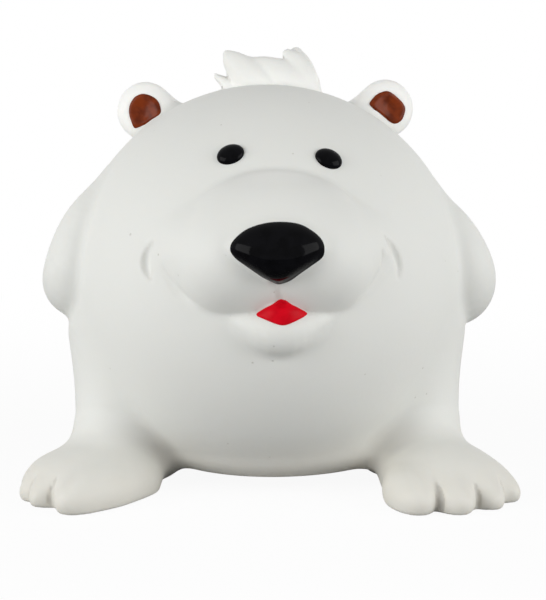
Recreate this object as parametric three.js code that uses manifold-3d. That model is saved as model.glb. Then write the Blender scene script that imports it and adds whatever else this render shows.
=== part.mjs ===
// A squeaking latex dog toy: a ball-bodied polar bear that stands on two splayed feet.
// It is cast hollow in one piece, its nose, eyes, tongue and ears are brushed with paint,
// and a reed squeaker is buttoned into a hole under its seat.
// Millimetres, +Z up. The bear looks along -Y. Left and right are the bear's own sides.

import * as THREE from 'three';
import { mergeVertices } from 'three/addons/utils/BufferGeometryUtils.js';
import Module from 'manifold-3d';

const wasm = await Module();
wasm.setup();

const RIGHT = -1;
const LEFT = 1;

// Driving dimensions of the body, a ball on a low base.
// Names that end in shares hold places in shares of the body's radius, measured from its middle
// (across, back and up), or on the face (across, up the brow and out through the nose).
const bodyRadius = 47;
const bodyHeight = 46;
const wall = 2;
const seatRadius = 20;
const seatRounding = 1.4;
const baseRadii = [27, 21, 8];
const baseShares = [0.06, -0.045, -0.75];
const baseFillet = 7;

// Face: a muzzle with two lips, whose join with the body is crisp but for the cheeks
const faceTilt = 16;
const muzzleRadii = [23.5, 18.7, 24];
const muzzleShares = [0, 0.077, 0.68];
const muzzleFillet = 0.8;
const cheekFillet = 6.5;
const cheekAcrossShares = [0.2, 0.5];
const cheekBottomShares = [-0.2, 0.06];
const cheekTopShares = [0.1, 0.35];
const lipRadii = [12.8, 12.6, 16];
const lipShares = [0.215, -0.01, 0.81];
const lipFillet = 4;
const mouthShares = [0.008, -0.2, 0.98];
const mouthSlope = 33;
const mouthRounding = 0.5;
const chinRadii = [1.6, 3.6, 4.6, 3.6, 1.6];
const chinShares = [
  [-0.27, -0.24, 0.905], [-0.135, -0.302, 0.915], [0.006, -0.325, 0.915],
  [0.147, -0.302, 0.915], [0.282, -0.24, 0.905],
];
const chinFillet = 2;
const chinUnderShares = [-0.4, -0.3];
const tongueRadii = [6, 3.6, 6.2];
const tongueShares = [0.008, -0.272, 0.905];
const tongueFillet = 1;

// Nose: a dome drawn in to a point by two sloping edges
const noseRadii = [11, 7.6, 6];
const noseShares = [-0.015, 0, 1.13];
const noseEdgeSlope = 33;
const noseEdgeShare = 0.76;
const noseRounding = 2.4;
const noseFillet = 1.6;

// Legs and feet: a hip in the body's side, an ankle, and a foot that lies along its own turn
const hipRadius = 13.5;
const ankleRadius = 9.6;
const instepRadii = [12.8, 13.5, 9.8];
const instepAlong = 9;
const ballRadii = [14.6, 12.5, 8.6];
const ballAlong = 17.5;
const footSinkShare = 0.3;
const heelRadius = 8.8;
const heelSinkShare = 0.6;
const toeRadii = [4.5, 9.5, 5.2];
const toeSinkShare = 0.44;
const toePitch = 7.6;
const toeReach = 27;
const toeFan = 9;
const toeAcrossShares = [-1.4, -0.49, 0.45, 1.26];
const toeAlongShares = [0.71, 0.87, 0.87, 0.75];
const toeSizeShares = [1.2, 1.04, 0.92, 0.84];
const legFillet = 4.5;
const footFillet = 7;
const padFillet = 3;
const toeRootFillet = 2.4;
const toeFillet = 0.6;
const legs = [
  {
    side: RIGHT,
    yaw: 50,
    footShares: [-0.65, -0.31],
    heelShares: [-0.735, -0.12],
    hipShares: [-0.71, -0.1, -0.3],
    ankleShares: [-0.775, -0.26, 0.33],
  },
  {
    side: LEFT,
    yaw: 20,
    footShares: [0.735, -0.33],
    heelShares: [0.74, -0.06],
    hipShares: [0.69, -0.1, -0.3],
    ankleShares: [0.755, -0.27, 0.33],
  },
];

// Arms: from the shoulder out to the elbow, and round to a paw on the back
const armRadii = [4.2, 7.4, 8.9, 8.6, 7.6, 7.2];
const armFillet = 2.2;
const armShares = [
  [0.76, -0.06, 0.52], [0.895, -0.12, 0.29], [0.95, -0.08, 0.06],
  [0.92, 0.26, -0.1], [0.7, 0.68, -0.15], [0.42, 0.87, -0.13],
];
const arms = [
  { side: RIGHT, dropShare: 0, spreadShare: 0 },
  { side: LEFT, dropShare: 0.03, spreadShare: 0.02 },
];

// Ears: dished discs that look forwards and a little out, each on a root that runs in to the head
const earRadius = 6.7;
const earThickness = 3.4;
const earDish = 1.1;
const earDishShare = 0.8;
const earDishDepth = 3.35;
const earFillet = 2.4;
const earYaw = 14;
const earLean = 8;
const earWebShare = 0.86;
const earRootRadius = 3.6;
const earRootShares = [-0.2, -0.12, -0.055];
const ears = [
  { side: RIGHT, earShares: [-0.611, 0.319, 0.848] },
  { side: LEFT, earShares: [0.632, 0.319, 0.854] },
];

// Tuft: locks of hair that sweep up from the bear's left to its right, each from root to tip
const lockFillet = 0.6;
const tuftFillet = 1.2;
const locks = [
  {
    radii: [4.4, 4.3, 3, 1.1],
    lockShares: [[0.03, 0.447, 0.912], [-0.064, 0.468, 1], [-0.136, 0.489, 1.066], [-0.183, 0.511, 1.116]],
  },
  {
    radii: [4.4, 4.2, 2.9, 1.1],
    lockShares: [[0.21, 0.426, 0.908], [0.117, 0.447, 0.995], [0.025, 0.468, 1.046], [-0.063, 0.489, 1.081]],
  },
  {
    radii: [3.4, 3.3, 2.7, 1.2],
    lockShares: [[0.25, 0.426, 0.897], [0.225, 0.447, 1], [0.18, 0.468, 1.077], [0.135, 0.489, 1.127]],
  },
  {
    radii: [3.2, 2.6, 1.4],
    lockShares: [[0.255, 0.489, 0.959], [0.225, 0.511, 1.052], [0.2, 0.532, 1.12]],
  },
  {
    radii: [3, 1.8, 0.5],
    lockShares: [[-0.106, 0.468, 0.9], [-0.173, 0.489, 0.955], [-0.25, 0.511, 1.01]],
  },
  {
    radii: [5.4, 4.8, 4.2, 1.6],
    lockShares: [[0.25, 0.64, 0.7], [0.211, 0.68, 0.86], [0.106, 0.702, 0.975], [0.011, 0.723, 1.034]],
  },
  {
    radii: [5.4, 4.8, 4.2, 1.6],
    lockShares: [[0.08, 0.64, 0.7], [0.025, 0.68, 0.86], [-0.08, 0.702, 0.965], [-0.148, 0.723, 1.024]],
  },
];

// Tail: a stub on the back
const tailRadii = [6, 6, 5.1];
const tailShares = [0, 0.98, -0.5];
const tailFillet = 6;

// Paint: coats inside outlines that are given in shares of half their width and half their height
const coatThickness = 0.5;
const coatClearance = 0.35;
const noseWidth = 20.6;
const noseHeight = 13.1;
const noseOutlineShares = [
  [1, 0.13], [0.94, 0.42], [0.74, 0.71], [0.45, 0.94], [0.06, 1], [-0.32, 0.94], [-0.68, 0.74],
  [-0.94, 0.39], [-1, 0.1], [-0.9, -0.16], [-0.68, -0.42], [-0.32, -0.81], [-0.06, -0.98],
  [0.1, -0.98], [0.28, -0.9], [0.49, -0.68], [0.74, -0.42], [0.96, -0.16],
];
const tongueWidth = 11.2;
const tongueHeight = 6;
const tongueCoatShares = [0.008, -0.262, 1.1];
const tongueOutlineShares = [
  [1, 0], [0.76, 0.27], [0.36, 0.62], [0, 0.92], [-0.36, 0.64], [-0.76, 0.27], [-1, -0.12],
  [-0.66, -0.52], [-0.2, -0.9], [0.12, -0.96], [0.52, -0.67], [0.92, -0.25],
];
const earCoatSize = 8.3;
const earCoatGap = 2;
const earOutlineShares = [
  [1, -0.1], [0.96, 0.4], [0.6, 0.86], [0, 1], [-0.6, 0.82], [-0.94, 0.2], [-0.9, -0.4],
  [-0.72, -0.82], [-0.3, -0.86], [0.3, -0.72], [0.8, -0.5],
];
const eyeRadii = [3.2, 2.75, 1.5];
const eyeRoll = 30;
const eyes = [
  { side: RIGHT, azimuth: -17.6, elevation: 46.6 },
  { side: LEFT, azimuth: 21.8, elevation: 44.7 },
];

// Squeaker
const squeakerOffset = 5;
const squeakerHoleRadius = 9;
const flangeRadius = 11.5;
const flangeThickness = 1.3;
const lipRadius = 10.2;
const lipThickness = 1.4;
const barrelRadius = 6.2;
const barrelLength = 15;
const barrelFloor = 0.78;
const boreRadius = 4.4;
const soundHoleRadius = 1.8;
const seatClearance = 0.3;
const reedClearance = 0.16;
const reedWidth = 4.6;
const reedThickness = 0.3;
const reedLength = 11.5;
const reedGrip = 4;
const reedFaceSlope = 4.5;
const channelRadius = 1.5;
const cartridgeLength = 12;

// Faceting: segments round a piece, rings along it, and how far the rings are drawn to its front
const faceFacets = { segments: 48, rings: 32, crowding: 1.4 };
const coatFacets = { segments: 32, rings: 32, crowding: 1.4 };
const legFacets = { segments: 34, rings: 22, crowding: 1.25 };
const earFacets = { segments: 24, rings: 12 };
const beadFacets = { segments: 16, rings: 8 };
const tailFacets = { segments: 12, rings: 7 };
const armFacets = { segments: 16, rings: 20 };
const lockFacets = { segments: 8, rings: 8 };
const hollowFacets = { segments: 30, rings: 20, crowding: 1.3 };
const legHollowFacets = { segments: 16, rings: 12 };
const armHollowFacets = { segments: 8, rings: 10 };
const roundSegments = 16;
const turnedSegments = 30;
const limbSteps = 12;
const outlineSteps = 2;

// How closely forms are followed
const mergeTolerance = bodyRadius * 1e-6;
const settleStep = bodyRadius * 1e-4;
const settlePasses = 4;
const leastSlope = 0.25;
const farShare = 1.6;
const stepShare = 0.01;

// Places
const X = new THREE.Vector3(1, 0, 0);
const Y = new THREE.Vector3(0, 1, 0);
const Z = new THREE.Vector3(0, 0, 1);
const radians = THREE.MathUtils.degToRad;
const vector = (x, y, z) => new THREE.Vector3(x, y, z);

const bodyCentre = vector(0, 0, bodyHeight);
const seatHeight = bodyHeight - Math.sqrt(bodyRadius ** 2 - seatRadius ** 2);
const squeakerPlace = vector(0, squeakerOffset, seatHeight);

// A place given from the body's centre in shares of the body's radius.
const onBody = ([x, y, z]) => vector(x, y, z).multiplyScalar(bodyRadius).add(bodyCentre);

const mirrored = ([x, y, z], side) => [x * side, y, z];

// The face's own axes: across, up the brow, and out through the nose.
const tilt = radians(faceTilt);
const browUp = vector(0, Math.sin(tilt), Math.cos(tilt));
const noseOut = vector(0, -Math.cos(tilt), Math.sin(tilt));
const faceTurn = new THREE.Quaternion().setFromRotationMatrix(
  new THREE.Matrix4().makeBasis(X, browUp, noseOut));

// A direction given along the face's own axes, and a place on the face.
const faceWay = (side, up, out) => vector(side, up, out).applyQuaternion(faceTurn);
const onFace = ([side, up, out]) => faceWay(side, up, out).multiplyScalar(bodyRadius).add(bodyCentre);

// How far across and up the face a point is, in shares.
const acrossFace = (p) => (p.x - bodyCentre.x) / bodyRadius;
const upFace = (p) => p.clone().sub(bodyCentre).dot(browUp) / bodyRadius;

// A direction from the body's centre, turned from straight ahead and raised.
function heading(azimuth, elevation) {
  const level = Math.cos(radians(elevation));
  return vector(
    Math.sin(radians(azimuth)) * level, -Math.cos(radians(azimuth)) * level, Math.sin(radians(elevation)));
}

// Forms: a form gives a point's distance from a surface, below zero inside.

// A ball stretched to three half sizes along its own axes.
function egg(centre, radii, turn = new THREE.Quaternion()) {
  const back = turn.clone().invert();
  const half = vector(...radii);
  return (p) => {
    const q = p.clone().sub(centre).applyQuaternion(back).divide(half);
    const near = q.length();
    const slope = q.divide(half).length();
    return slope > 0 ? near * (near - 1) / slope : -Math.min(...radii);
  };
}

const ball = (centre, radius) => (p) => p.distanceTo(centre) - radius;

// The half space behind a plane.
const behind = (place, normal) => (p) => p.clone().sub(place).dot(normal);

// The half space above a level.
const above = (level) => (p) => level - p.z;

// A round limb whose radius runs from one end's to the other's.
function taper(from, to, radiusFrom, radiusTo) {
  const run = to.clone().sub(from);
  return (p) => {
    const offset = p.clone().sub(from);
    const share = THREE.MathUtils.clamp(offset.dot(run) / run.lengthSq(), 0, 1);
    const radius = THREE.MathUtils.lerp(radiusFrom, radiusTo, share);
    return offset.addScaledVector(run, -share).length() - radius;
  };
}

// A limb along a smooth path, whose radius follows a list from one end to the other.
function radiusAt(radii, share) {
  const place = share * (radii.length - 1);
  const before = Math.min(Math.floor(place), radii.length - 2);
  return THREE.MathUtils.lerp(radii[before], radii[before + 1], place - before);
}

function limb(path, radii) {
  const centres = path.getPoints(limbSteps);
  const runs = centres.slice(1).map((end, i) => taper(
    centres[i], end, radiusAt(radii, i / limbSteps), radiusAt(radii, (i + 1) / limbSteps)));
  return (p) => Math.min(...runs.map((run) => run(p)));
}

// Forms joined, or met, with a soft fillet.
function softMin(a, b, fillet) {
  const share = Math.max(fillet - Math.abs(a - b), 0) / fillet;
  return Math.min(a, b) - share * share * fillet / 4;
}

const blend = (fillet, ...forms) => (p) =>
  forms.slice(1).reduce((near, form) => softMin(near, form(p), fillet), forms[0](p));
const outside = (form) => (p) => -form(p);
const meet = (fillet, ...forms) => outside(blend(fillet, ...forms.map(outside)));
const grow = (form, thickness) => (p) => form(p) - thickness;

// Two forms joined with a fillet that runs from crisp to soft with a grade from zero to one.
const graded = (crisp, soft, grade, first, second) => (p) =>
  softMin(first(p), second(p), THREE.MathUtils.lerp(crisp, soft, grade(p)));

const ramp = (value, [low, high]) => THREE.MathUtils.smoothstep(value, low, high);

// Solids

// A geometry's places and triangles alone, with its shared vertices merged.
function merge(geometry) {
  const bare = new THREE.BufferGeometry();
  bare.setAttribute('position', geometry.getAttribute('position'));
  bare.setIndex(geometry.index);
  return mergeVertices(bare, mergeTolerance);
}

function solid(geometry) {
  const merged = merge(geometry);
  return new wasm.Manifold(new wasm.Mesh({
    numProp: 3,
    vertProperties: new Float32Array(merged.attributes.position.array),
    triVerts: new Uint32Array(merged.index.array),
  }));
}

function geometryOf(made) {
  const mesh = made.getMesh();
  const places = new THREE.BufferAttribute(new Float32Array(mesh.vertProperties), 3);
  const geometry = new THREE.BufferGeometry();
  geometry.setAttribute('position', places);
  geometry.setIndex(new THREE.BufferAttribute(new Uint32Array(mesh.triVerts), 1));
  geometry.computeVertexNormals();
  return geometry;
}

const joined = (solids) => solids.reduce((sum, each) => sum.add(each));

// How far a form reaches from a place inside it, along a direction.
function reachOf(form, centre, direction) {
  const reach = bodyRadius * farShare;
  const place = vector(0, 0, 0);
  const at = (distance) => form(place.copy(centre).addScaledVector(direction, distance));
  let far = reach;
  while (far > 0 && at(far) > 0) far -= reach * stepShare;
  let near = Math.max(far, 0);
  far = near + reach * stepShare;
  while (far - near > mergeTolerance) {
    const middle = (near + far) / 2;
    if (at(middle) < 0) near = middle;
    else far = middle;
  }
  return near;
}

// A sphere shrunk on to a form from outside, along lines from a centre inside it.
// Its pole looks along an axis, and a crowding over 1 draws its rings towards that pole.
function wrap(form, { centre, axis = Z, segments, rings, crowding = 1 }) {
  const geometry = merge(new THREE.SphereGeometry(1, segments, rings));
  const turn = new THREE.Quaternion().setFromUnitVectors(Y, axis);
  const places = geometry.attributes.position;
  const direction = vector(0, 0, 0);
  for (let i = 0; i < places.count; i += 1) {
    direction.fromBufferAttribute(places, i);
    const polar = Math.acos(THREE.MathUtils.clamp(direction.y, -1, 1));
    const around = Math.atan2(direction.x, direction.z);
    direction.setFromSphericalCoords(1, Math.PI * (polar / Math.PI) ** crowding, around);
    direction.applyQuaternion(turn);
    direction.multiplyScalar(reachOf(form, centre, direction)).add(centre);
    places.setXYZ(i, direction.x, direction.y, direction.z);
  }
  return solid(geometry);
}

// The same limb as a solid: a sphere drawn out along the path, with a dome on each end.
function limbSolid(path, radii, { segments, rings }, inset = 0) {
  const geometry = merge(new THREE.SphereGeometry(1, segments, rings));
  const places = geometry.attributes.position;
  const length = path.getLength();
  const first = radiusAt(radii, 0) - inset;
  const last = radiusAt(radii, 1) - inset;
  const whole = first + length + last;
  const side = vector(0, 0, 0);
  for (let i = 0; i < places.count; i += 1) {
    side.fromBufferAttribute(places, i);
    const along = whole * (1 - side.y) / 2 - first;
    const share = path.getUtoTmapping(THREE.MathUtils.clamp(along / length, 0, 1));
    const past = along - THREE.MathUtils.clamp(along, 0, length);
    const full = radiusAt(radii, share) - inset;
    const radius = Math.sqrt(Math.max(full ** 2 - past ** 2, 0));
    const tangent = path.getTangent(share);
    const turn = new THREE.Quaternion().setFromUnitVectors(Y.clone().negate(), tangent);
    side.setY(0).normalize().multiplyScalar(radius).applyQuaternion(turn)
      .add(path.getPoint(share)).addScaledVector(tangent, past);
    places.setXYZ(i, side.x, side.y, side.z);
  }
  return solid(geometry);
}

// Moves every vertex of a joined solid on to the form that its pieces blend into,
// so that the seams between pieces become fillets.
function settled(made, form) {
  const mesh = made.getMesh();
  const places = new Float32Array(mesh.vertProperties);
  const p = vector(0, 0, 0);
  const slope = (axis) => {
    const ahead = form(p.clone().addScaledVector(axis, settleStep));
    const back = form(p.clone().addScaledVector(axis, -settleStep));
    return (ahead - back) / (2 * settleStep);
  };
  for (let i = 0; i < places.length; i += 3) {
    p.fromArray(places, i);
    for (let pass = 0; pass < settlePasses && Math.abs(form(p)) > settleStep; pass += 1) {
      const rise = vector(slope(X), slope(Y), slope(Z));
      p.addScaledVector(rise, -form(p) / Math.max(rise.lengthSq(), leastSlope));
    }
    p.toArray(places, i);
  }
  return new wasm.Manifold(new wasm.Mesh({ numProp: 3, vertProperties: places, triVerts: mesh.triVerts }));
}

// A turned piece, from its half section.
const turned = (profile) => solid(new THREE.LatheGeometry(
  profile.map(([radius, height]) => new THREE.Vector2(radius, height)), turnedSegments)
  .rotateX(Math.PI / 2));

// A flat outline raised along Z.
const raised = (shape, height, from) => solid(
  new THREE.ExtrudeGeometry(shape, { depth: height, bevelEnabled: false, curveSegments: roundSegments })
    .translate(0, 0, from));

// A block that holds everything under a level.
function below(level) {
  const size = bodyRadius * 4;
  return solid(new THREE.BoxGeometry(size, size, size).translate(0, 0, level - size / 2));
}

// A round plug on the squeaker's axis, between two levels measured from the seat.
const plug = (radius, bottom, top) => turned([[0, bottom], [radius, bottom], [radius, top], [0, top]])
  .translate(squeakerPlace.toArray());

// The bear's forms

const faceFeature = (shares, radii) => egg(onFace(shares), radii, faceTurn);

// Body: the ball on its base, flat under its seat.
const bodyForm = meet(
  seatRounding,
  blend(baseFillet, ball(bodyCentre, bodyRadius), egg(onBody(baseShares), baseRadii)),
  above(seatHeight));

// Muzzle and lips, and the cut under the lips' peak that the tongue shows in.
const muzzleForm = [RIGHT, LEFT].reduce(
  (form, side) => blend(lipFillet, form, faceFeature(mirrored(lipShares, side), lipRadii)),
  faceFeature(muzzleShares, muzzleRadii));

const mouthForm = meet(
  mouthRounding,
  ...[RIGHT, LEFT].map((side) => behind(
    onFace(mouthShares),
    faceWay(side * Math.sin(radians(mouthSlope)), Math.cos(radians(mouthSlope)), 0))),
  behind(onFace(mouthShares), noseOut.clone().negate()));

const atCheeks = (p) => ramp(Math.abs(acrossFace(p)), cheekAcrossShares)
  * ramp(upFace(p), cheekBottomShares) * (1 - ramp(upFace(p), cheekTopShares));
const underChin = (p) => 1 - ramp(upFace(p), chinUnderShares);

const trunkForm = meet(
  mouthRounding,
  graded(muzzleFillet, cheekFillet, atCheeks, bodyForm, muzzleForm),
  outside(mouthForm));

function noseForm() {
  const centre = onFace(noseShares);
  const edges = [RIGHT, LEFT].map((side) => {
    const slope = radians(noseEdgeSlope);
    const normal = faceWay(side * Math.sin(slope), -Math.cos(slope), 0);
    return behind(centre.clone().addScaledVector(normal, noseRadii[1] * noseEdgeShare), normal);
  });
  return meet(noseRounding, egg(centre, noseRadii, faceTurn), ...edges);
}

const chinForm = limb(new THREE.CatmullRomCurve3(chinShares.map(onFace)), chinRadii);
const chinnedForm = graded(muzzleFillet, chinFillet, underChin, trunkForm, chinForm);
const tonguedForm = blend(tongueFillet, chinnedForm, faceFeature(tongueShares, tongueRadii));
const faceForm = blend(noseFillet, tonguedForm, noseForm());

// A place measured from the middle of a foot, along its own turn.
function footPlace(leg, acrossBy, alongBy, height) {
  const yaw = radians(leg.yaw) * leg.side;
  const forward = vector(Math.sin(yaw), -Math.cos(yaw), 0);
  const outward = vector(Math.cos(yaw), Math.sin(yaw), 0).multiplyScalar(leg.side);
  return vector(leg.footShares[0] * bodyRadius, leg.footShares[1] * bodyRadius, height)
    .addScaledVector(forward, alongBy)
    .addScaledVector(outward, acrossBy);
}

const footTurn = (leg, extra = 0) =>
  new THREE.Quaternion().setFromAxisAngle(Z, radians(leg.yaw + extra) * leg.side);

function limbForm(leg) {
  const hip = onBody(leg.hipShares);
  const [x, y, z] = leg.ankleShares;
  const ankle = vector(x * bodyRadius, y * bodyRadius, z * bodyHeight);
  const [instep, pad] = [[instepAlong, instepRadii], [ballAlong, ballRadii]].map(([along, radii]) =>
    egg(footPlace(leg, 0, along, radii[2] * footSinkShare), radii, footTurn(leg)));
  const [heelX, heelY] = leg.heelShares;
  const heelPlace = vector(heelX * bodyRadius, heelY * bodyRadius, heelRadius * heelSinkShare);
  return blend(
    footFillet,
    taper(hip, ankle, hipRadius, ankleRadius),
    ball(heelPlace, heelRadius),
    blend(padFillet, instep, pad));
}

function legForm(leg) {
  const toes = toeAcrossShares.map((share, i) => {
    const radii = toeRadii.map((radius) => radius * toeSizeShares[i]);
    const place = footPlace(leg, share * toePitch, toeAlongShares[i] * toeReach, radii[2] * toeSinkShare);
    return egg(place, radii, footTurn(leg, (i - 1) * toeFan));
  });
  return blend(toeRootFillet, limbForm(leg), blend(toeFillet, ...toes));
}

const armPath = (arm) => new THREE.CatmullRomCurve3(
  armShares.map(([x, y, z]) => onBody([(x + arm.spreadShare) * arm.side, y, z - arm.dropShare])));

function earAxis(ear) {
  const yaw = radians(earYaw);
  return vector(Math.sin(yaw) * ear.side, -Math.cos(yaw), Math.sin(radians(earLean))).normalize();
}

function earForm(ear) {
  const centre = onBody(ear.earShares);
  const axis = earAxis(ear);
  const turn = new THREE.Quaternion().setFromUnitVectors(Z, axis);
  const disc = egg(centre, [earRadius, earRadius, earThickness], turn);
  const back = centre.clone().addScaledVector(axis, -earThickness);
  const root = back.clone().addScaledVector(vector(...mirrored(earRootShares, ear.side)), bodyRadius);
  const web = taper(back, root, earRadius * earWebShare, earRootRadius);
  const dish = egg(
    centre.clone().addScaledVector(axis, earThickness + earDishDepth - earDish),
    [earRadius * earDishShare, earRadius * earDishShare, earDishDepth], turn);
  return meet(earDish, blend(earFillet, disc, web), outside(dish));
}

const lockPath = (lock) => new THREE.CatmullRomCurve3(lock.lockShares.map(onBody));
const tailForm = egg(onBody(tailShares), tailRadii);

// Everything above, run together with each part's own fillet.
function bearForm() {
  const fringed = [
    ...legs.map((leg) => [legFillet, legForm(leg)]),
    ...arms.map((arm) => [armFillet, limb(armPath(arm), armRadii)]),
    ...ears.map((ear) => [earFillet, earForm(ear)]),
    [tuftFillet, blend(lockFillet, ...locks.map((lock) => limb(lockPath(lock), lock.radii)))],
    [tailFillet, tailForm],
  ];
  return fringed.reduce((form, [fillet, feature]) => blend(fillet, form, feature), faceForm);
}

// The latex skin

const faceWrap = { centre: bodyCentre, axis: noseOut, ...faceFacets };
const coatWrap = { ...faceWrap, ...coatFacets };

// The middle of a foot's instep, which all of its leg can be seen from.
const footMiddle = (leg) => footPlace(leg, 0, instepAlong, ankleRadius * heelSinkShare);

function outerSkin() {
  const legWrap = (leg) => wrap(legForm(leg), {
    centre: footMiddle(leg),
    axis: footPlace(leg, 0, 1, 0).sub(footPlace(leg, 0, 0, 0)),
    ...legFacets,
  });
  const earWrap = (ear) => wrap(earForm(ear), {
    centre: onBody(ear.earShares),
    axis: earAxis(ear),
    ...earFacets,
  });
  const crisp = joined([
    wrap(faceForm, faceWrap),
    ...legs.map(legWrap),
    ...arms.map((arm) => limbSolid(armPath(arm), armRadii, armFacets)),
    ...ears.map(earWrap),
    ...locks.map((lock) => limbSolid(lockPath(lock), lock.radii, lockFacets)),
    wrap(tailForm, { centre: onBody(tailShares), ...tailFacets }),
  ]);
  return settled(crisp, bearForm());
}

// The hollow inside: the body, legs and arms, each a wall smaller. Toes, ears, tuft and tail are solid.
function cavity() {
  const bodyHollow = wrap(meet(seatRounding, grow(trunkForm, -wall), above(seatHeight + wall)), {
    centre: bodyCentre,
    axis: noseOut,
    ...hollowFacets,
  });
  const legHollow = (leg) => wrap(grow(limbForm(leg), -wall), {
    centre: footMiddle(leg),
    ...legHollowFacets,
  });
  const armHollow = (arm) => limbSolid(armPath(arm), armRadii, armHollowFacets, wall);
  return joined([bodyHollow, ...legs.map(legHollow), ...arms.map(armHollow)]).subtract(below(wall));
}

// The squeaker's hole, with a flat bed round it on each side of the wall.
function latexSkin() {
  const bedDepth = flangeThickness + wall;
  const outerBed = plug(flangeRadius + seatClearance, -bedDepth, 0);
  const innerBed = plug(lipRadius + seatClearance, wall, wall + bedDepth);
  const hole = plug(squeakerHoleRadius, -bedDepth, wall + bedDepth);
  return outerSkin()
    .subtract(below(0))
    .subtract(cavity().add(innerBed))
    .subtract(outerBed)
    .subtract(hole);
}

// Paint

// A closed outline through points given in shares of half a width and half a height.
function outline(shares, width, height) {
  const points = shares.map(([x, y]) => vector(x * width / 2, y * height / 2, 0));
  const curve = new THREE.CatmullRomCurve3(points, true);
  const places = curve.getPoints(shares.length * outlineSteps);
  return new THREE.Shape(places.map((p) => new THREE.Vector2(p.x, p.y)));
}

// The layer of paint that an outline leaves on a form.
function coat(form, wrapping, shape, centre, turn, depth) {
  const stencil = geometryOf(raised(shape, depth, -depth / 2))
    .applyQuaternion(turn)
    .translate(centre.x, centre.y, centre.z);
  return wrap(grow(form, coatClearance + coatThickness), wrapping)
    .intersect(solid(stencil))
    .subtract(wrap(grow(form, coatClearance), wrapping));
}

const noseCoat = () => coat(
  faceForm, coatWrap, outline(noseOutlineShares, noseWidth, noseHeight),
  onFace(noseShares), faceTurn, noseRadii[2] * 4);

const tongueCoat = () => coat(
  faceForm, coatWrap, outline(tongueOutlineShares, tongueWidth, tongueHeight),
  onFace(tongueCoatShares), faceTurn, tongueRadii[2] * 2);

function earCoat(ear) {
  const axis = earAxis(ear);
  const centre = onBody(ear.earShares);
  const shape = outline(earOutlineShares.map(([x, y]) => [x * -ear.side, y]), earCoatSize, earCoatSize);
  const painted = coat(
    earForm(ear), { centre, axis, ...earFacets }, shape,
    centre.clone().addScaledVector(axis, earThickness),
    new THREE.Quaternion().setFromUnitVectors(Z, axis), earThickness * 2);
  return painted.subtract(wrap(grow(faceForm, earCoatGap), coatWrap));
}

// An eye: a bead of paint that stands on the brow.
function eyeCoat(eye) {
  const out = heading(eye.azimuth, eye.elevation);
  const turn = new THREE.Quaternion().setFromUnitVectors(noseOut, out)
    .multiply(faceTurn)
    .multiply(new THREE.Quaternion().setFromAxisAngle(Z, radians(-eyeRoll) * eye.side));
  const place = bodyCentre.clone()
    .addScaledVector(out, reachOf(faceForm, bodyCentre, out) + coatClearance);
  const bead = new THREE.SphereGeometry(1, beadFacets.segments, beadFacets.rings)
    .rotateX(Math.PI / 2)
    .scale(...eyeRadii)
    .applyQuaternion(turn)
    .translate(place.x, place.y, place.z);
  return solid(bead).subtract(wrap(grow(faceForm, coatClearance), coatWrap));
}

// Squeaker

// Housing: a flange under the seat, a neck through the hole, a lip over the latex and a barrel.
const neckRadius = squeakerHoleRadius - seatClearance;
const neckTop = wall + seatClearance;
const lipTop = neckTop + lipThickness;
const barrelTop = lipTop + barrelLength;

const squeakerHousing = () => turned([
  [soundHoleRadius, -flangeThickness],
  [flangeRadius, -flangeThickness],
  [flangeRadius, -seatClearance],
  [neckRadius, -seatClearance],
  [neckRadius, neckTop],
  [lipRadius, neckTop],
  [neckRadius, lipTop],
  [barrelRadius, lipTop],
  [barrelRadius, barrelTop],
  [boreRadius, barrelTop],
  [boreRadius, barrelFloor],
  [soundHoleRadius, barrelFloor],
  [soundHoleRadius, -flangeThickness],
]);

// The cartridge in the bore: a half round seat with an air channel, the reed, and a wedge that grips it.
const cartridgeRadius = boreRadius - seatClearance;
const cartridgeBottom = barrelFloor + seatClearance;
const reedFace = reedThickness / 2 + reedClearance;
const channelEnd = cartridgeBottom + cartridgeLength - channelRadius;

// Half a disc on the -Y side of a flat face.
function halfDisc(face) {
  const start = Math.asin(face / cartridgeRadius);
  const shape = new THREE.Shape();
  shape.absarc(0, 0, cartridgeRadius, Math.PI + start, 2 * Math.PI - start);
  return shape;
}

function reedSeat() {
  const body = raised(halfDisc(reedFace), cartridgeLength, cartridgeBottom);
  const channel = new THREE.CylinderGeometry(channelRadius, channelRadius, cartridgeLength * 2, roundSegments)
    .rotateX(Math.PI / 2)
    .translate(0, -reedFace, channelEnd - cartridgeLength);
  const slopeBlock = new THREE.BoxGeometry(boreRadius * 2, boreRadius, cartridgeLength * 2)
    .translate(0, boreRadius / 2, cartridgeLength)
    .rotateX(radians(reedFaceSlope))
    .translate(0, -reedFace, cartridgeBottom + reedGrip);
  return body.subtract(solid(channel)).subtract(solid(slopeBlock));
}

const reedWedge = () => raised(halfDisc(reedFace), reedGrip, cartridgeBottom).rotate([0, 0, 180]);

function reed() {
  const half = reedWidth / 2;
  const straight = reedLength - half;
  const shape = new THREE.Shape();
  shape.moveTo(-half, 0);
  shape.lineTo(half, 0);
  shape.lineTo(half, straight);
  shape.absarc(0, straight, half, 0, Math.PI);
  const blade = new THREE.ExtrudeGeometry(shape, {
    depth: reedThickness, bevelEnabled: false, curveSegments: roundSegments,
  });
  blade.translate(0, 0, -reedThickness / 2).rotateX(Math.PI / 2).translate(0, 0, cartridgeBottom);
  return solid(blade);
}

// Assembly

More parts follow.
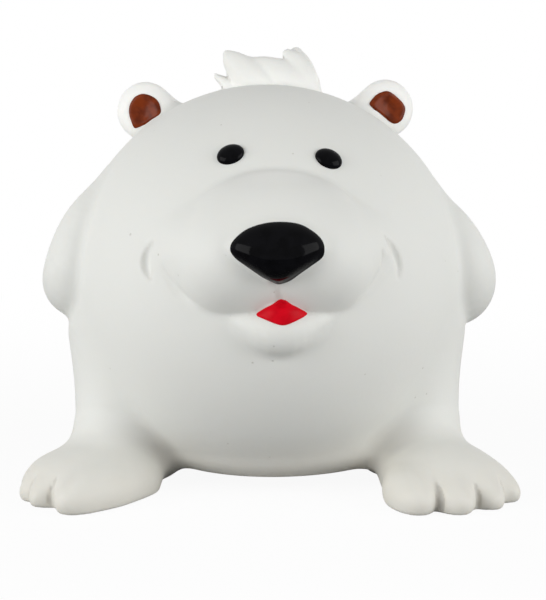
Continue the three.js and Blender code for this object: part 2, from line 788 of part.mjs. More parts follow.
const finishes = {
  latex: new THREE.MeshStandardMaterial({ color: 0xe4e3df, roughness: 0.6, metalness: 0 }),
  blackPaint: new THREE.MeshStandardMaterial({ color: 0x0b0a0c, roughness: 0.15, metalness: 0 }),
  redPaint: new THREE.MeshStandardMaterial({ color: 0xd01020, roughness: 0.35, metalness: 0 }),
  brownPaint: new THREE.MeshStandardMaterial({ color: 0x8a3414, roughness: 0.25, metalness: 0 }),
  plastic: new THREE.MeshStandardMaterial({ color: 0xf2f1ec, roughness: 0.45, metalness: 0 }),
  film: new THREE.MeshStandardMaterial({ color: 0xcfd6d8, roughness: 0.2, metalness: 0 }),
};

function piece(name, made, finish) {
  const mesh = new THREE.Mesh(geometryOf(made), finish);
  mesh.name = name;
  return mesh;
}

const toy = new THREE.Group();
toy.add(
  piece('latex_skin', latexSkin(), finishes.latex),
  piece('nose_coat', noseCoat(), finishes.blackPaint),
  piece('right_eye_coat', eyeCoat(eyes[0]), finishes.blackPaint),
  piece('left_eye_coat', eyeCoat(eyes[1]), finishes.blackPaint),
  piece('tongue_coat', tongueCoat(), finishes.redPaint),
  piece('right_ear_coat', earCoat(ears[0]), finishes.brownPaint),
  piece('left_ear_coat', earCoat(ears[1]), finishes.brownPaint),
);

const squeaker = new THREE.Group();
squeaker.position.copy(squeakerPlace);
squeaker.add(
  piece('squeaker_housing', squeakerHousing(), finishes.plastic),
  piece('reed_seat', reedSeat(), finishes.plastic),
  piece('reed_wedge', reedWedge(), finishes.plastic),
  piece('reed', reed(), finishes.film),
);
toy.add(squeaker);

// The origin is on the floor, under the middle of the toy's overall width and depth.
const middle = new THREE.Box3().setFromObject(toy).getCenter(vector(0, 0, 0));
toy.position.set(-middle.x, -middle.y, 0);

export default toy;
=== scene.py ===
"""Render model of a squeaking latex dog toy: a ball-bodied polar bear that stands on two splayed feet.

The skin is cast latex in one piece. Its shape is written as distance forms (balls, eggs and
tapering limbs, run together with soft fillets, pressed with creases and cut with grooves) and
meshed on a fine grid. Paint on the nose, eyes, tongue and ears lies on that skin, and a reed
squeaker is buttoned under the seat.

Shapes are worked out in millimetres about the bear's own origin, which is on the floor under
the middle of its ball body. The bear looks along -Y, and left and right are its own sides.
"""

from __future__ import annotations

import logging
import math
from abc import ABC, abstractmethod
from dataclasses import dataclass, field
from enum import Enum
from functools import cached_property, reduce
from typing import Callable, Iterator, Sequence, Union

import bpy
import numpy as np
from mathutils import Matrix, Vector

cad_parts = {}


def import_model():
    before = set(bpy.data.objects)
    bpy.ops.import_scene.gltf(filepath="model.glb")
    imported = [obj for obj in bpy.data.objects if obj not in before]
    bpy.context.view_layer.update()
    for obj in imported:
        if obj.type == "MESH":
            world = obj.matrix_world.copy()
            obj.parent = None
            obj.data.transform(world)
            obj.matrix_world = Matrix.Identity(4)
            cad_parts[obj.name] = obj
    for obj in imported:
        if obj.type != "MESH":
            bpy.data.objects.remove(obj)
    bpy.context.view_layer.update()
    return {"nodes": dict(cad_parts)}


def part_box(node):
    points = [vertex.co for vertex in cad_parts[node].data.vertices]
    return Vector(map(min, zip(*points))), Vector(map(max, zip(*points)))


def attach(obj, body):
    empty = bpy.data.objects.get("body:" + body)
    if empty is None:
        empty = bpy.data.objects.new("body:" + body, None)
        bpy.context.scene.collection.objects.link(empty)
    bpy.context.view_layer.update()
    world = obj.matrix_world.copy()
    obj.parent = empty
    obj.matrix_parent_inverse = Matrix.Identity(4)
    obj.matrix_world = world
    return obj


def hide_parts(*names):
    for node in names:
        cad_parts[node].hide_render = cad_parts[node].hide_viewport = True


MM = 0.001
TOY_BODY = "toy"
CREVICE = "crevice"
UP = (0, 0, 1)
FINE_CELL, QUICK_CELL = 0.7, 1.3
OUTLINE_STEPS = 16

Array = np.ndarray
Place = Sequence[float]
Number = Union[int, float]

log = logging.getLogger("dog_toy")


class Side(Enum):
    """A side of the bear, with the sign that it has along X."""

    RIGHT = -1
    LEFT = 1


SIDES = (Side.RIGHT, Side.LEFT)


def unit(vector: Place) -> Array:
    """Returns the vector at length one."""
    values = np.asarray(vector, float)
    return values / np.linalg.norm(values)


def heading(azimuth: float, elevation: float) -> Array:
    """Returns the direction that a place on the ball body is seen in from the ball's middle.

    Args:
        azimuth: Degrees from the bear's front towards its left.
        elevation: Degrees above the level of the ball's middle.

    Returns:
        A unit vector.
    """
    around, up = math.radians(azimuth), math.radians(elevation)
    return np.array([math.sin(around) * math.cos(up), -math.cos(around) * math.cos(up), math.sin(up)])


def turn_about(axis: Place, degrees: float) -> Array:
    """Returns the matrix of a right-handed turn.

    Args:
        axis: The turn's axis, of any length.
        degrees: How far it turns.

    Returns:
        The matrix, for columns on its right.
    """
    x, y, z = unit(axis)
    cos, sin = math.cos(math.radians(degrees)), math.sin(math.radians(degrees))
    cross = np.array([[0, -z, y], [z, 0, -x], [-y, x, 0]])
    outer = np.outer([x, y, z], [x, y, z])
    return np.eye(3) * cos + cross * sin + outer * (1 - cos)


def facing(axis: Place) -> Array:
    """Returns a matrix whose columns are right, up and out.

    Args:
        axis: Which way out is.

    Returns:
        The matrix, upright where the axis allows.
    """
    out = unit(axis)
    right = unit(np.cross(UP, out))
    return np.column_stack([right, np.cross(out, right), out])


def smooth_path(places: Array, steps: int) -> Array:
    """Returns points along a smooth curve through places, evenly spaced in parameter.

    Args:
        places: What the curve passes through, one to a row.
        steps: How many stretches it is split into.

    Returns:
        The curve's points, one to a row.
    """
    ends = np.vstack([2 * places[0] - places[1], places, 2 * places[-1] - places[-2]])
    spans = len(places) - 1
    out = []
    for step in range(steps + 1):
        at = min(step / steps * spans, spans - 1e-9)
        k, t = int(at), at - int(at)
        a, b, c, d = ends[k : k + 4]
        out.append(b + 0.5 * t * (c - a + t * (2 * a - 5 * b + 4 * c - d + t * (3 * (b - c) + d - a))))
    return np.array(out)


def stretches(path: Array, points: Array) -> Iterator[tuple[int, Array, Array]]:
    """Goes along the stretches of a path.

    Args:
        path: The path's points.
        points: Places, one to a row.

    Yields:
        The stretch's number, how far along it each place lies, from zero to one, and how far off.
    """
    for number, (start, end) in enumerate(zip(path, path[1:])):
        run = end - start
        offset = points - start
        share = np.clip(offset @ run / (run @ run), 0, 1)
        yield number, share, np.linalg.norm(offset - share[:, None] * run, axis=1)


# Forms


class Form(ABC):
    """A solid given by how far a point is from its surface, below zero inside.

    Attributes:
        LEAST_STEEPNESS: Keeps a step short where the distance hardly grows.
        HALVINGS: How often a place on a line is refined.
    """

    LEAST_STEEPNESS = 0.3
    HALVINGS = 18

    @abstractmethod
    def distance(self, points: Array) -> Array:
        """Returns each point's distance from the surface.

        Args:
            points: Places, one to a row.

        Returns:
            One distance for each place.
        """

    def slope(self, points: Array, step: float = 0.02) -> Array:
        """Returns the direction and rate in which the distance grows.

        Args:
            points: Places, one to a row.
            step: How far to each side the distance is tried.

        Returns:
            One slope for each place.
        """
        columns = []
        for axis in np.eye(3) * step:
            columns.append((self.distance(points + axis) - self.distance(points - axis)) / (2 * step))
        return np.column_stack(columns)

    def settle(self, points: Array, passes: int = 3) -> Array:
        """Moves places on to the surface.

        Args:
            points: Places near the surface.
            passes: How many steps each place takes.

        Returns:
            The moved places.
        """
        settled = points.copy()
        for _ in range(passes):
            slope = self.slope(settled)
            steep = np.maximum((slope**2).sum(1), self.LEAST_STEEPNESS)
            settled -= slope * (self.distance(settled) / steep)[:, None]
        return settled

    def normals(self, points: Array) -> Array:
        """Returns the surface's outward normals at points on it."""
        slope = self.slope(points)
        return slope / np.linalg.norm(slope, axis=1, keepdims=True)

    def cast(self, starts: Array, towards: Array, reach: float, steps: int = 120) -> Array:
        """Finds where lines from outside first meet the surface.

        Args:
            starts: Where the lines start, outside the surface.
            towards: Their unit directions.
            reach: How far they run at most.
            steps: How many places are tried along a line before the last one is refined.

        Returns:
            One place for each line.
        """
        near = np.zeros(len(starts))
        open_lines = np.ones(len(starts), bool)
        stride = reach / steps
        for _ in range(steps):
            at = starts + towards * near[:, None]
            open_lines &= self.distance(at) > 0
            near[open_lines] += stride
        low, high = near - stride, near.copy()
        for _ in range(self.HALVINGS):
            middle = (low + high) / 2
            out = self.distance(starts + towards * middle[:, None]) > 0
            low, high = np.where(out, middle, low), np.where(out, high, middle)
        return starts + towards * ((low + high) / 2)[:, None]

    def on_ray(self, origin: Place, direction: Place, reach: float = 80.0) -> Array:
        """Finds the outermost place of the surface along a ray.

        Args:
            origin: Where the ray starts, inside the form.
            direction: Its direction, of any length.
            reach: How far out the surface may be.

        Returns:
            The place.
        """
        way = unit(direction)
        start = np.asarray(origin, float) + way * reach
        return self.cast(start[None], -way[None], reach)[0]


@dataclass
class Near(Form):
    """A form that is worked out only near its own box, to save time."""

    form: Form
    low: Array
    high: Array
    margin: float = 12.0

    def distance(self, points: Array) -> Array:
        """Works out the form near the box only.

        Args:
            points: Places, one to a row.

        Returns:
            The form's distances near the box, and a safe far value elsewhere.
        """
        inside = np.all((points > self.low - self.margin) & (points < self.high + self.margin), axis=1)
        values = np.full(len(points), self.margin)
        if inside.any():
            values[inside] = np.minimum(self.form.distance(points[inside]), self.margin)
        return values


@dataclass
class Egg(Form):
    """A ball stretched to three half sizes along its own axes."""

    centre: Array
    radii: Array
    turn: Array = field(default_factory=lambda: np.eye(3))

    def distance(self, points: Array) -> Array:
        """Works out how far places are from the egg.

        Args:
            points: Places, one to a row.

        Returns:
            A signed distance for each, close to the true one for eggs that aren't very flat.
        """
        local = (points - self.centre) @ self.turn / self.radii
        near = np.linalg.norm(local, axis=1)
        slope = np.linalg.norm(local / self.radii, axis=1)
        return near * (near - 1) / np.maximum(slope, 1e-9)

    def boxed(self) -> Near:
        """Returns the egg, worked out only near its own box."""
        reach = max(self.radii)
        return Near(self, self.centre - reach, self.centre + reach)


@dataclass
class Limb(Form):
    """A round limb along a path, whose radius follows a list from one end to the other."""

    path: Array
    radii: Sequence[float]

    @cached_property
    def widths(self) -> Array:
        """The radius at each point of the path."""
        return smooth_path(np.array(self.radii, float)[:, None], len(self.path) - 1)[:, 0]

    def distance(self, points: Array) -> Array:
        """Works out how far places are from the nearest stretch of the limb.

        Args:
            points: Places, one to a row.

        Returns:
            A signed distance for each.
        """
        best = np.full(len(points), np.inf)
        for k, share, gap in stretches(self.path, points):
            near, far = self.widths[k : k + 2]
            best = np.minimum(best, gap - (near + (far - near) * share))
        return best

    def boxed(self) -> Near:
        """Returns the limb, worked out only near its own box."""
        reach = max(self.radii)
        return Near(self, self.path.min(0) - reach, self.path.max(0) + reach)


@dataclass
class Plane(Form):
    """The half space behind a plane."""

    place: Array
    normal: Array

    def distance(self, points: Array) -> Array:
        """Returns the height above the plane."""
        return (points - self.place) @ self.normal


@dataclass
class Plug(Form):
    """An upright round plug between two levels."""

    centre: Array
    radius: float
    bottom: float
    top: float

    def distance(self, points: Array) -> Array:
        """Works out how far places are from the plug.

        Args:
            points: Places, one to a row.

        Returns:
            The larger of the distances from the wall and from the ends.
        """
        wall = np.linalg.norm(points[:, :2] - self.centre[:2], axis=1) - self.radius
        ends = np.abs(points[:, 2] - (self.bottom + self.top) / 2) - (self.top - self.bottom) / 2
        return np.maximum(wall, ends)


def ramp(values: Array, low: float, high: float) -> Array:
    """Returns zero below low and one above high, smoothly between."""
    share = np.clip((values - low) / (high - low), 0, 1)
    return share * share * (3 - 2 * share)


def soft_min(a: Array, b: Array, fillet: float | Array) -> Array:
    """Returns the smaller of two distances, with a fillet where they are alike."""
    share = np.maximum(fillet - np.abs(a - b), 0) / fillet
    return np.minimum(a, b) - share * share * fillet / 4


@dataclass
class Blend(Form):
    """Forms joined with a soft fillet."""

    fillet: float
    forms: Sequence[Form]

    def distance(self, points: Array) -> Array:
        """Returns the distance from the blended surface."""
        values = (form.distance(points) for form in self.forms)
        return reduce(lambda a, b: soft_min(a, b, self.fillet), values)


@dataclass
class Meet(Form):
    """What forms have in common, with a soft edge."""

    fillet: float
    forms: Sequence[Form]

    def distance(self, points: Array) -> Array:
        """Returns the distance from the common surface."""
        values = (-form.distance(points) for form in self.forms)
        return -reduce(lambda a, b: soft_min(a, b, self.fillet), values)


@dataclass
class Outside(Form):
    """Everything that isn't in a form."""

    form: Form

    def distance(self, points: Array) -> Array:
        """Returns the form's distance with its sign changed."""
        return -self.form.distance(points)


@dataclass
class Graded(Form):
    """Two forms joined crisply in one place and softly in another.

    Attributes:
        first: One form.
        second: The other form.
        crisp: The fillet where the grade is zero.
        soft: The fillet where the grade is one.
        grade: Gives each place's grade from zero to one.
    """

    first: Form
    second: Form
    crisp: float
    soft: float
    grade: Callable[[Array], Array]

    def distance(self, points: Array) -> Array:
        """Returns the distance from the joined surface."""
        fillet = self.crisp + (self.soft - self.crisp) * self.grade(points)
        return soft_min(self.first.distance(points), self.second.distance(points), fillet)


@dataclass
class Crease:
    """A soft groove along a path.

    Attributes:
        path: Points along the groove's bottom.
        width: How far from the path the groove falls to about a third of its depth.
        depth: How deep it is in its middle. A depth below zero makes a ridge.
        ends: The share of the path over which the groove fades in and out at each end.
    """

    path: Array
    width: float
    depth: float
    ends: float

    def depths(self, points: Array) -> Array:
        """Works out how far the surface is pressed in.

        Args:
            points: Places, one to a row.

        Returns:
            One depth for each place.
        """
        reach = self.width * 3
        low, high = self.path.min(0) - reach, self.path.max(0) + reach
        near = np.all((points > low) & (points < high), axis=1)
        pressed = np.zeros(len(points))
        if not near.any():
            return pressed
        local = points[near]
        best = np.full(len(local), np.inf)
        along = np.zeros(len(local))
        runs = len(self.path) - 1
        for k, share, gap in stretches(self.path, local):
            closer = gap < best
            best = np.where(closer, gap, best)
            along = np.where(closer, (k + share) / runs, along)
        fade = ramp(np.minimum(along, 1 - along), 0, self.ends)
        pressed[near] = self.depth * fade * np.exp(-((best / self.width) ** 2))
        return pressed


@dataclass
class Creased(Form):
    """A form with grooves pressed into it."""

    form: Form
    creases: Sequence[Crease]

    def distance(self, points: Array) -> Array:
        """Returns the form's distance, deepened in the grooves."""
        return self.form.distance(points) + sum(crease.depths(points) for crease in self.creases)


# Meshing


@dataclass
class Mesher:
    """Turns a form into an even mesh of four-sided faces on a grid.

    Attributes:
        cell: The grid's spacing in millimetres.
        block: How many grid points across a block is, which is worked out finely or not at all.
        block_reach: How near the surface a block's middle is where it is worked out, in blocks.
    """

    cell: float
    block: int = 4
    block_reach: float = 1.35

    def grid(self, form: Form, low: Array, high: Array) -> Array:
        """Works out a form's distances on the grid, exact only near the surface.

        Args:
            form: What is meshed.
            low: The grid's lowest corner.
            high: Its highest corner, or a little beyond.

        Returns:
            The distances, along X, Y and Z.
        """
        counts = np.ceil((high - low) / self.cell / self.block).astype(int)
        middles = (np.indices(counts).reshape(3, -1).T * self.block + (self.block - 1) / 2) * self.cell + low
        values = form.distance(middles).reshape(counts)
        for axis in range(3):
            values = np.repeat(values, self.block, axis=axis)
        close = np.abs(values) < self.cell * self.block * self.block_reach
        values[close] = form.distance(np.argwhere(close) * self.cell + low)
        return values

    def mesh(self, form: Form, low: Place, high: Place) -> tuple[Array, Array]:
        """Meshes the surface of a form inside a box.

        Args:
            form: What to mesh. Its surface has to lie inside the box.
            low: The box's lowest corner.
            high: The box's highest corner.

        Returns:
            The places of the vertices, and four vertex numbers to each face.
        """
        low, high = np.asarray(low, float), np.asarray(high, float)
        values = self.grid(form, low, high)
        inside = values < 0
        count = np.zeros([n - 1 for n in inside.shape], np.int8)
        corners = [(i, j, k) for i in (0, 1) for j in (0, 1) for k in (0, 1)]
        for i, j, k in corners:
            count += inside[i : i + count.shape[0], j : j + count.shape[1], k : k + count.shape[2]]
        cells = np.argwhere((count > 0) & (count < 8))
        number = np.full(count.shape, -1, np.int64)
        number[tuple(cells.T)] = np.arange(len(cells))
        places = low + (cells + self.crossings(values, cells, corners)) * self.cell
        faces = self.faces(inside, number)
        places = self.even_out(form, form.settle(places, 2), faces)
        return places, faces

    def crossings(self, values: Array, cells: Array, corners: list[tuple[int, int, int]]) -> Array:
        """Works out the middle of each cell's edge crossings.

        Args:
            values: The distances on the grid.
            cells: The grid numbers of the cells that the surface passes through.
            corners: The corners of a cell.

        Returns:
            One place for each cell, in cells from its lowest corner.
        """
        total = np.zeros((len(cells), 3))
        hits = np.zeros(len(cells))
        for start in corners:
            for axis in range(3):
                if start[axis]:
                    continue
                end = tuple(v + (n == axis) for n, v in enumerate(start))
                a = values[tuple((cells + start).T)]
                b = values[tuple((cells + end).T)]
                cross = (a < 0) != (b < 0)
                share = np.where(cross, a / np.where(cross, a - b, 1), 0)
                spot = np.asarray(start, float) + share[:, None] * np.eye(3)[axis]
                total += spot * cross[:, None]
                hits += cross
        return total / hits[:, None]

    def faces(self, inside: Array, number: Array) -> Array:
        """Makes a face round every grid edge that crosses the surface.

        Args:
            inside: Which grid points are inside the form.
            number: The vertex number of each cell.

        Returns:
            Four vertex numbers to each face.
        """
        found = []
        for axis in range(3):
            first, second = [(1, 2), (2, 0), (0, 1)][axis]
            here = np.moveaxis(inside, axis, 0)
            crossing = np.moveaxis(here[:-1] != here[1:], 0, axis)
            spots = np.argwhere(crossing)
            size = number.shape
            fits = np.all((spots > 0) | (np.arange(3) == axis), axis=1) & np.all(spots < size, axis=1)
            spots = spots[fits]
            ring = []
            for back_first, back_second in ((1, 1), (0, 1), (0, 0), (1, 0)):
                at = spots.copy()
                at[:, first] -= back_first
                at[:, second] -= back_second
                ring.append(number[tuple(at.T)])
            quads = np.column_stack(ring)
            flipped = ~inside[tuple(spots.T)]
            quads[flipped] = quads[flipped][:, ::-1]
            found.append(quads)
        return np.vstack(found)

    def even_out(self, form: Form, places: Array, faces: Array, passes: int = 2) -> Array:
        """Spreads the vertices evenly over the surface.

        Args:
            form: What the vertices stay on.
            places: The vertices.
            faces: Four vertex numbers to each face.
            passes: How often each vertex moves half way to its neighbours' middle.

        Returns:
            The moved vertices.
        """
        starts = faces.ravel()
        ends = np.roll(faces, -1, axis=1).ravel()
        links = np.bincount(starts, minlength=len(places)) + np.bincount(ends, minlength=len(places))
        for _ in range(passes):
            spread = np.empty_like(places)
            for axis in range(3):
                column = places[:, axis]
                total = np.bincount(starts, column[ends], len(places))
                total += np.bincount(ends, column[starts], len(places))
                spread[:, axis] = total / links
            places = form.settle(places + (spread - places) * 0.5, 1)
        return places


def polar_sheet(rings: int, around: int) -> tuple[Array, list[tuple[int, ...]]]:
    """Makes a round sheet's places as ring and turn shares, and its faces.

    Args:
        rings: How many rings lie between the middle and the edge.
        around: How many vertices a ring has.

    Returns:
        Rows of (distance from the middle, angle) with the middle first, and lists of faces.
    """
    places = [(0.0, 0.0)]
    faces = []
    for ring in range(1, rings + 1):
        for spoke in range(around):
            places.append((ring / rings, 2 * math.pi * spoke / around))
    for spoke in range(around):
        after = (spoke + 1) % around
        faces.append((0, 1 + spoke, 1 + after))
        for ring in range(1, rings):
            inner, outer = 1 + (ring - 1) * around, 1 + ring * around
            faces.append((inner + spoke, outer + spoke, outer + after, inner + after))
    return np.array(places), faces


@dataclass
class Workbench:
    """Makes Blender objects at the frame's place and scale.

    Attributes:
        shift: Where the bear's own origin lies in the frame, in millimetres.
    """

    shift: Array

    def place(self, name: str, places: Array, faces: Sequence) -> bpy.types.Object:
        """Makes a smooth mesh object.

        Args:
            name: The object's name.
            places: Vertices in millimetres from the bear's own origin.
            faces: Vertex numbers of each face, counterclockwise from outside.

        Returns:
            The new object, linked to the scene.
        """
        mesh = bpy.data.meshes.new(name)
        mesh.from_pydata(((places + self.shift) * MM).tolist(), [], [tuple(map(int, f)) for f in faces])
        mesh.validate()
        mesh.polygons.foreach_set("use_smooth", [True] * len(mesh.polygons))
        mesh.update()
        thing = bpy.data.objects.new(name, mesh)
        bpy.context.scene.collection.objects.link(thing)
        return thing

    def finish(
        self, thing: bpy.types.Object, material: bpy.types.Material, slot: str, *nodes: str
    ) -> bpy.types.Object:
        """Dresses a piece, fixes it to the toy and lets it stand for CAD nodes.

        Args:
            thing: The piece.
            material: Its material.
            slot: The record's material slot. It is not used.
            nodes: The CAD nodes that it stands for.

        Returns:
            The piece.
        """
        thing.data.materials.clear()
        thing.data.materials.append(material)
        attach(thing, TOY_BODY)
        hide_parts(*nodes)
        log.info("%s: %d faces", thing.name, len(thing.data.polygons))
        return thing


# The bear's shape


@dataclass
class BearShape:
    """The forms of the bear, from a few driving sizes in millimetres and degrees.

    Places with names that end in shares are measured from the middle of the ball body, in
    shares of its radius: across, back and up, or on the face across, up the brow and out.
    A range is where a smooth change starts and ends.
    """

    body_radius: float = 47.0
    body_height: float = 46.0
    seat_radius: float = 20.0
    seat_rounding: float = 1.4
    belly_drop: float = 0.7
    base_radii: Place = (32, 24, 7.5)
    base_shares: Place = (0.1, -0.045, -0.785)
    base_fillet: float = 7.0
    face_tilt: float = 16.0

    muzzle_radii: Place = (23.5, 18.7, 24)
    muzzle_shares: Place = (0, 0.077, 0.68)
    muzzle_fillet: float = 0.8
    cheek_fillet: float = 6.5
    cheek_across_range: Place = (0.2, 0.5)
    cheek_up_range: Place = (-0.2, 0.06)
    cheek_top_range: Place = (0.1, 0.35)
    lip_radii: Place = (12.8, 12.6, 16)
    lip_shares: Place = (0.215, -0.01, 0.81)
    lip_fillet: float = 4.0
    chin_radii: Place = (1.4, 3.6, 5.2, 3.6, 1.4)
    chin_shares: Sequence[Place] = (
        (-0.255, -0.245, 0.89), (-0.13, -0.31, 0.905), (0.012, -0.345, 0.925),
        (0.155, -0.31, 0.905), (0.28, -0.245, 0.89),
    )
    chin_steps: int = 20
    chin_fillet: float = 2.2
    chin_up_range: Place = (-0.4, -0.3)
    mouth_shares: Place = (0.017, -0.213, 0.98)
    mouth_slope: float = 33.0
    mouth_rounding: float = 0.5
    tongue_radii: Place = (6.0, 3.9, 6.2)
    tongue_shares: Place = (0.018, -0.27, 0.905)
    tongue_fillet: float = 1.0
    nose_radii: Place = (11, 7.6, 6)
    nose_shares: Place = (-0.008, 0, 1.13)
    nose_edge_slope: float = 33.0
    nose_edge_share: float = 0.76
    nose_rounding: float = 2.4
    nose_fillet: float = 1.6

    hip_radius: float = 13.5
    ankle_radius: float = 9.6
    instep_radii: Place = (12.8, 13.5, 9.8)
    instep_along: float = 9.0
    ball_radii: Place = (14.4, 12.9, 8.7)
    ball_along: float = 16.6
    foot_sink_share: float = 0.3
    heel_radius: float = 9.6
    heel_sink_share: float = 0.6
    toe_radii: Place = (4.9, 9.5, 5.2)
    toe_sink_share: float = 0.44
    toe_pitch: float = 7.6
    toe_reach: float = 27.0
    toe_fan: float = 9.0
    leg_reach: float = 40.0
    leg_fillet: float = 6.5
    foot_fillet: float = 7.0
    pad_fillet: float = 3.0
    toe_blend: float = 2.2
    toe_fillet: float = 0.45
    cleft_height: float = 1.0
    cleft_steps: int = 12
    cleft_rises: Place = (0, 16, 32, 50)
    cleft_radii: Place = (0.6, 0.65, 0.5, 0.15)
    cleft_rounding: float = 0.5

    arm_radii: Place = (4.2, 7.4, 8.9, 8.6, 7.6, 7.2)
    arm_fillet: float = 2.0
    arm_steps: int = 44

    ear_radius: float = 6.95
    ear_thickness: float = 3.4
    ear_dish: float = 1.1
    ear_dish_share: float = 0.8
    ear_web_share: float = 0.86
    ear_fillet: float = 2.4
    ear_yaw: float = 14.0
    ear_lean: float = 8.0
    ear_root_shares: Place = (-0.2, -0.12, -0.055)
    ear_root_radius: float = 3.6

    lock_steps: int = 10
    lock_fillet: float = 0.6
    tuft_fillet: float = 1.2
    crease_steps: int = 16
    dimple_steps: int = 12
    dimple_rounding: float = 0.7

    tail_radii: Place = (6.0, 6.0, 5.1)
    tail_fillet: float = 6.0
    tail_shares: Place = (0, 0.98, -0.5)
    floor_rounding: float = 0.6

    @cached_property
    def middle(self) -> Array:
        """The middle of the ball body."""
        return np.array([0, 0, self.body_height])

    @cached_property
    def seat_height(self) -> float:
        """How high the flat of the seat is off the floor."""
        return self.body_height - math.sqrt(self.body_radius**2 - self.seat_radius**2)

    @cached_property
    def face_turn(self) -> Array:
        """Works out the face's own axes.

        Returns:
            Columns for across, up the brow, and out through the nose.
        """
        tilt = math.radians(self.face_tilt)
        up = (0, math.sin(tilt), math.cos(tilt))
        out = (0, -math.cos(tilt), math.sin(tilt))
        return np.column_stack([(1, 0, 0), up, out])

    def on_body(self, shares: Place) -> Array:
        """Returns a place given in shares of the body's radius."""
        return np.asarray(shares, float) * self.body_radius + self.middle

    def on_face(self, shares: Place) -> Array:
        """Returns a place given in shares along the face's own axes."""
        return self.face_turn @ (np.asarray(shares, float) * self.body_radius) + self.middle

    def mirrored(self, shares: Place, side: Side) -> tuple[float, float, float]:
        """Returns a place's shares on one side of the bear."""
        return (shares[0] * side.value, shares[1], shares[2])

    def feature(self, shares: Place, radii: Place) -> Form:
        """Returns an egg that lies along the face's own axes."""
        return Egg(self.on_face(shares), np.asarray(radii, float), self.face_turn).boxed()

    @cached_property
    def trunk(self) -> Form:
        """Builds the ball body, flat under its seat, with the muzzle.

        Returns:
            Its form.
        """
        ball = Egg(self.middle, np.full(3, self.body_radius))
        base = Egg(self.on_body(self.base_shares), np.asarray(self.base_radii, float))
        seat = Plane(np.array([0, 0, self.seat_height - self.belly_drop]), -np.array(UP, float))
        body = Meet(self.seat_rounding, [Blend(self.base_fillet, [ball, base]), seat])
        muzzle: Form = self.feature(self.muzzle_shares, self.muzzle_radii)
        for side in SIDES:
            lip = self.feature(self.mirrored(self.lip_shares, side), self.lip_radii)
            muzzle = Blend(self.lip_fillet, [muzzle, lip])
        return Graded(body, muzzle, self.muzzle_fillet, self.cheek_fillet, self.at_cheeks)

    def face_shares(self, points: Array) -> Array:
        """Returns rows of how far across, up the brow and out of the face the points are."""
        return ((points - self.middle) @ self.face_turn / self.body_radius).T

    def at_cheeks(self, points: Array) -> Array:
        """Works out where the cheeks are.

        Args:
            points: Places, one to a row.

        Returns:
            One beside the muzzle, and zero above it, below it and elsewhere.
        """
        across, up, _ = self.face_shares(points)
        beside = ramp(np.abs(across), *self.cheek_across_range)
        return beside * ramp(up, *self.cheek_up_range) * (1 - ramp(up, *self.cheek_top_range))

    def under_chin(self, points: Array) -> Array:
        """Returns one under the chin, and zero above it."""
        return 1 - ramp(self.face_shares(points)[1], *self.chin_up_range)

    @cached_property
    def mouth(self) -> Form:
        """Builds what is cut away under the lips' peak, for the tongue to show.

        Returns:
            Its form.
        """
        peak = self.on_face(self.mouth_shares)
        slope = math.radians(self.mouth_slope)
        walls = [
            Plane(peak, self.face_turn @ np.array([side.value * math.sin(slope), math.cos(slope), 0]))
            for side in SIDES
        ]
        return Meet(self.mouth_rounding, [*walls, Plane(peak, -self.face_turn[:, 2])])

    @cached_property
    def nose_bed(self) -> Form:
        """Builds the domed wedge under the nose's paint, drawn in to a point below.

        Returns:
            Its form.
        """
        centre = self.on_face(self.nose_shares)
        forms: list[Form] = [Egg(centre, np.asarray(self.nose_radii, float), self.face_turn)]
        slope = math.radians(self.nose_edge_slope)
        edge = self.nose_radii[1] * self.nose_edge_share
        for side in SIDES:
            normal = self.face_turn @ np.array([side.value * math.sin(slope), -math.cos(slope), 0])
            forms.append(Plane(centre + normal * edge, normal))
        return Meet(self.nose_rounding, forms)

    @cached_property
    def face(self) -> Form:
        """Builds the trunk with its mouth, chin, tongue and nose.

        Returns:
            Its form.
        """
        form: Form = Meet(self.mouth_rounding, [self.trunk, Outside(self.mouth)])
        places = np.array([self.on_face(shares) for shares in self.chin_shares])
        chin = Limb(smooth_path(places, self.chin_steps), self.chin_radii).boxed()
        form = Graded(form, chin, self.muzzle_fillet, self.chin_fillet, self.under_chin)
        form = Blend(self.tongue_fillet, [form, self.feature(self.tongue_shares, self.tongue_radii)])
        return Blend(self.nose_fillet, [form, self.nose_bed])

    def foot_place(self, foot: Foot, across: float, along: float, height: float) -> Array:
        """Works out a place that is measured along a foot's own turn.

        Args:
            foot: The foot.
            across: How far outwards from the foot's middle line.
            along: How far forwards from its middle.
            height: How far off the floor.

        Returns:
            The place.
        """
        yaw = math.radians(foot.yaw) * foot.side.value
        forward = np.array([math.sin(yaw), -math.cos(yaw), 0])
        outward = np.array([math.cos(yaw), math.sin(yaw), 0]) * foot.side.value
        start = np.array([*foot.place_shares, 0]) * self.body_radius
        return start + forward * along + outward * across + np.array([0, 0, height])

    def leg(self, foot: Foot) -> Form:
        """Shapes a leg with its foot and toes.

        Args:
            foot: Where the foot stands.

        Returns:
            The leg's form.
        """
        hip = self.on_body(foot.hip_shares)
        ankle = np.asarray(foot.ankle_shares) * (self.body_radius, self.body_radius, self.body_height)
        shank = Limb(np.array([hip, ankle]), (self.hip_radius, self.ankle_radius))
        instep = self.pad(foot, self.instep_along, self.instep_radii)
        pads = [instep, self.pad(foot, self.ball_along, self.ball_radii)]
        heel_place = np.multiply(foot.heel_shares, self.body_radius)
        heel_height = self.heel_radius * self.heel_sink_share
        heel = Egg(np.array([*heel_place, heel_height]), np.full(3, self.heel_radius))
        limb = Blend(self.foot_fillet, [shank, heel, Blend(self.pad_fillet, pads)])
        toes = [self.toe(foot, n) for n in range(len(foot.toes))]
        whole = Blend(self.toe_blend, [limb, Blend(self.toe_fillet, toes)])
        clefts = [self.cleft(whole, foot, n) for n in range(len(toes) - 1)]
        place = self.foot_place(foot, 0, 0, 0)
        return Near(
            Meet(self.cleft_rounding, [whole, *clefts]),
            np.minimum(hip, place) - self.leg_reach, np.maximum(hip, place) + self.leg_reach)

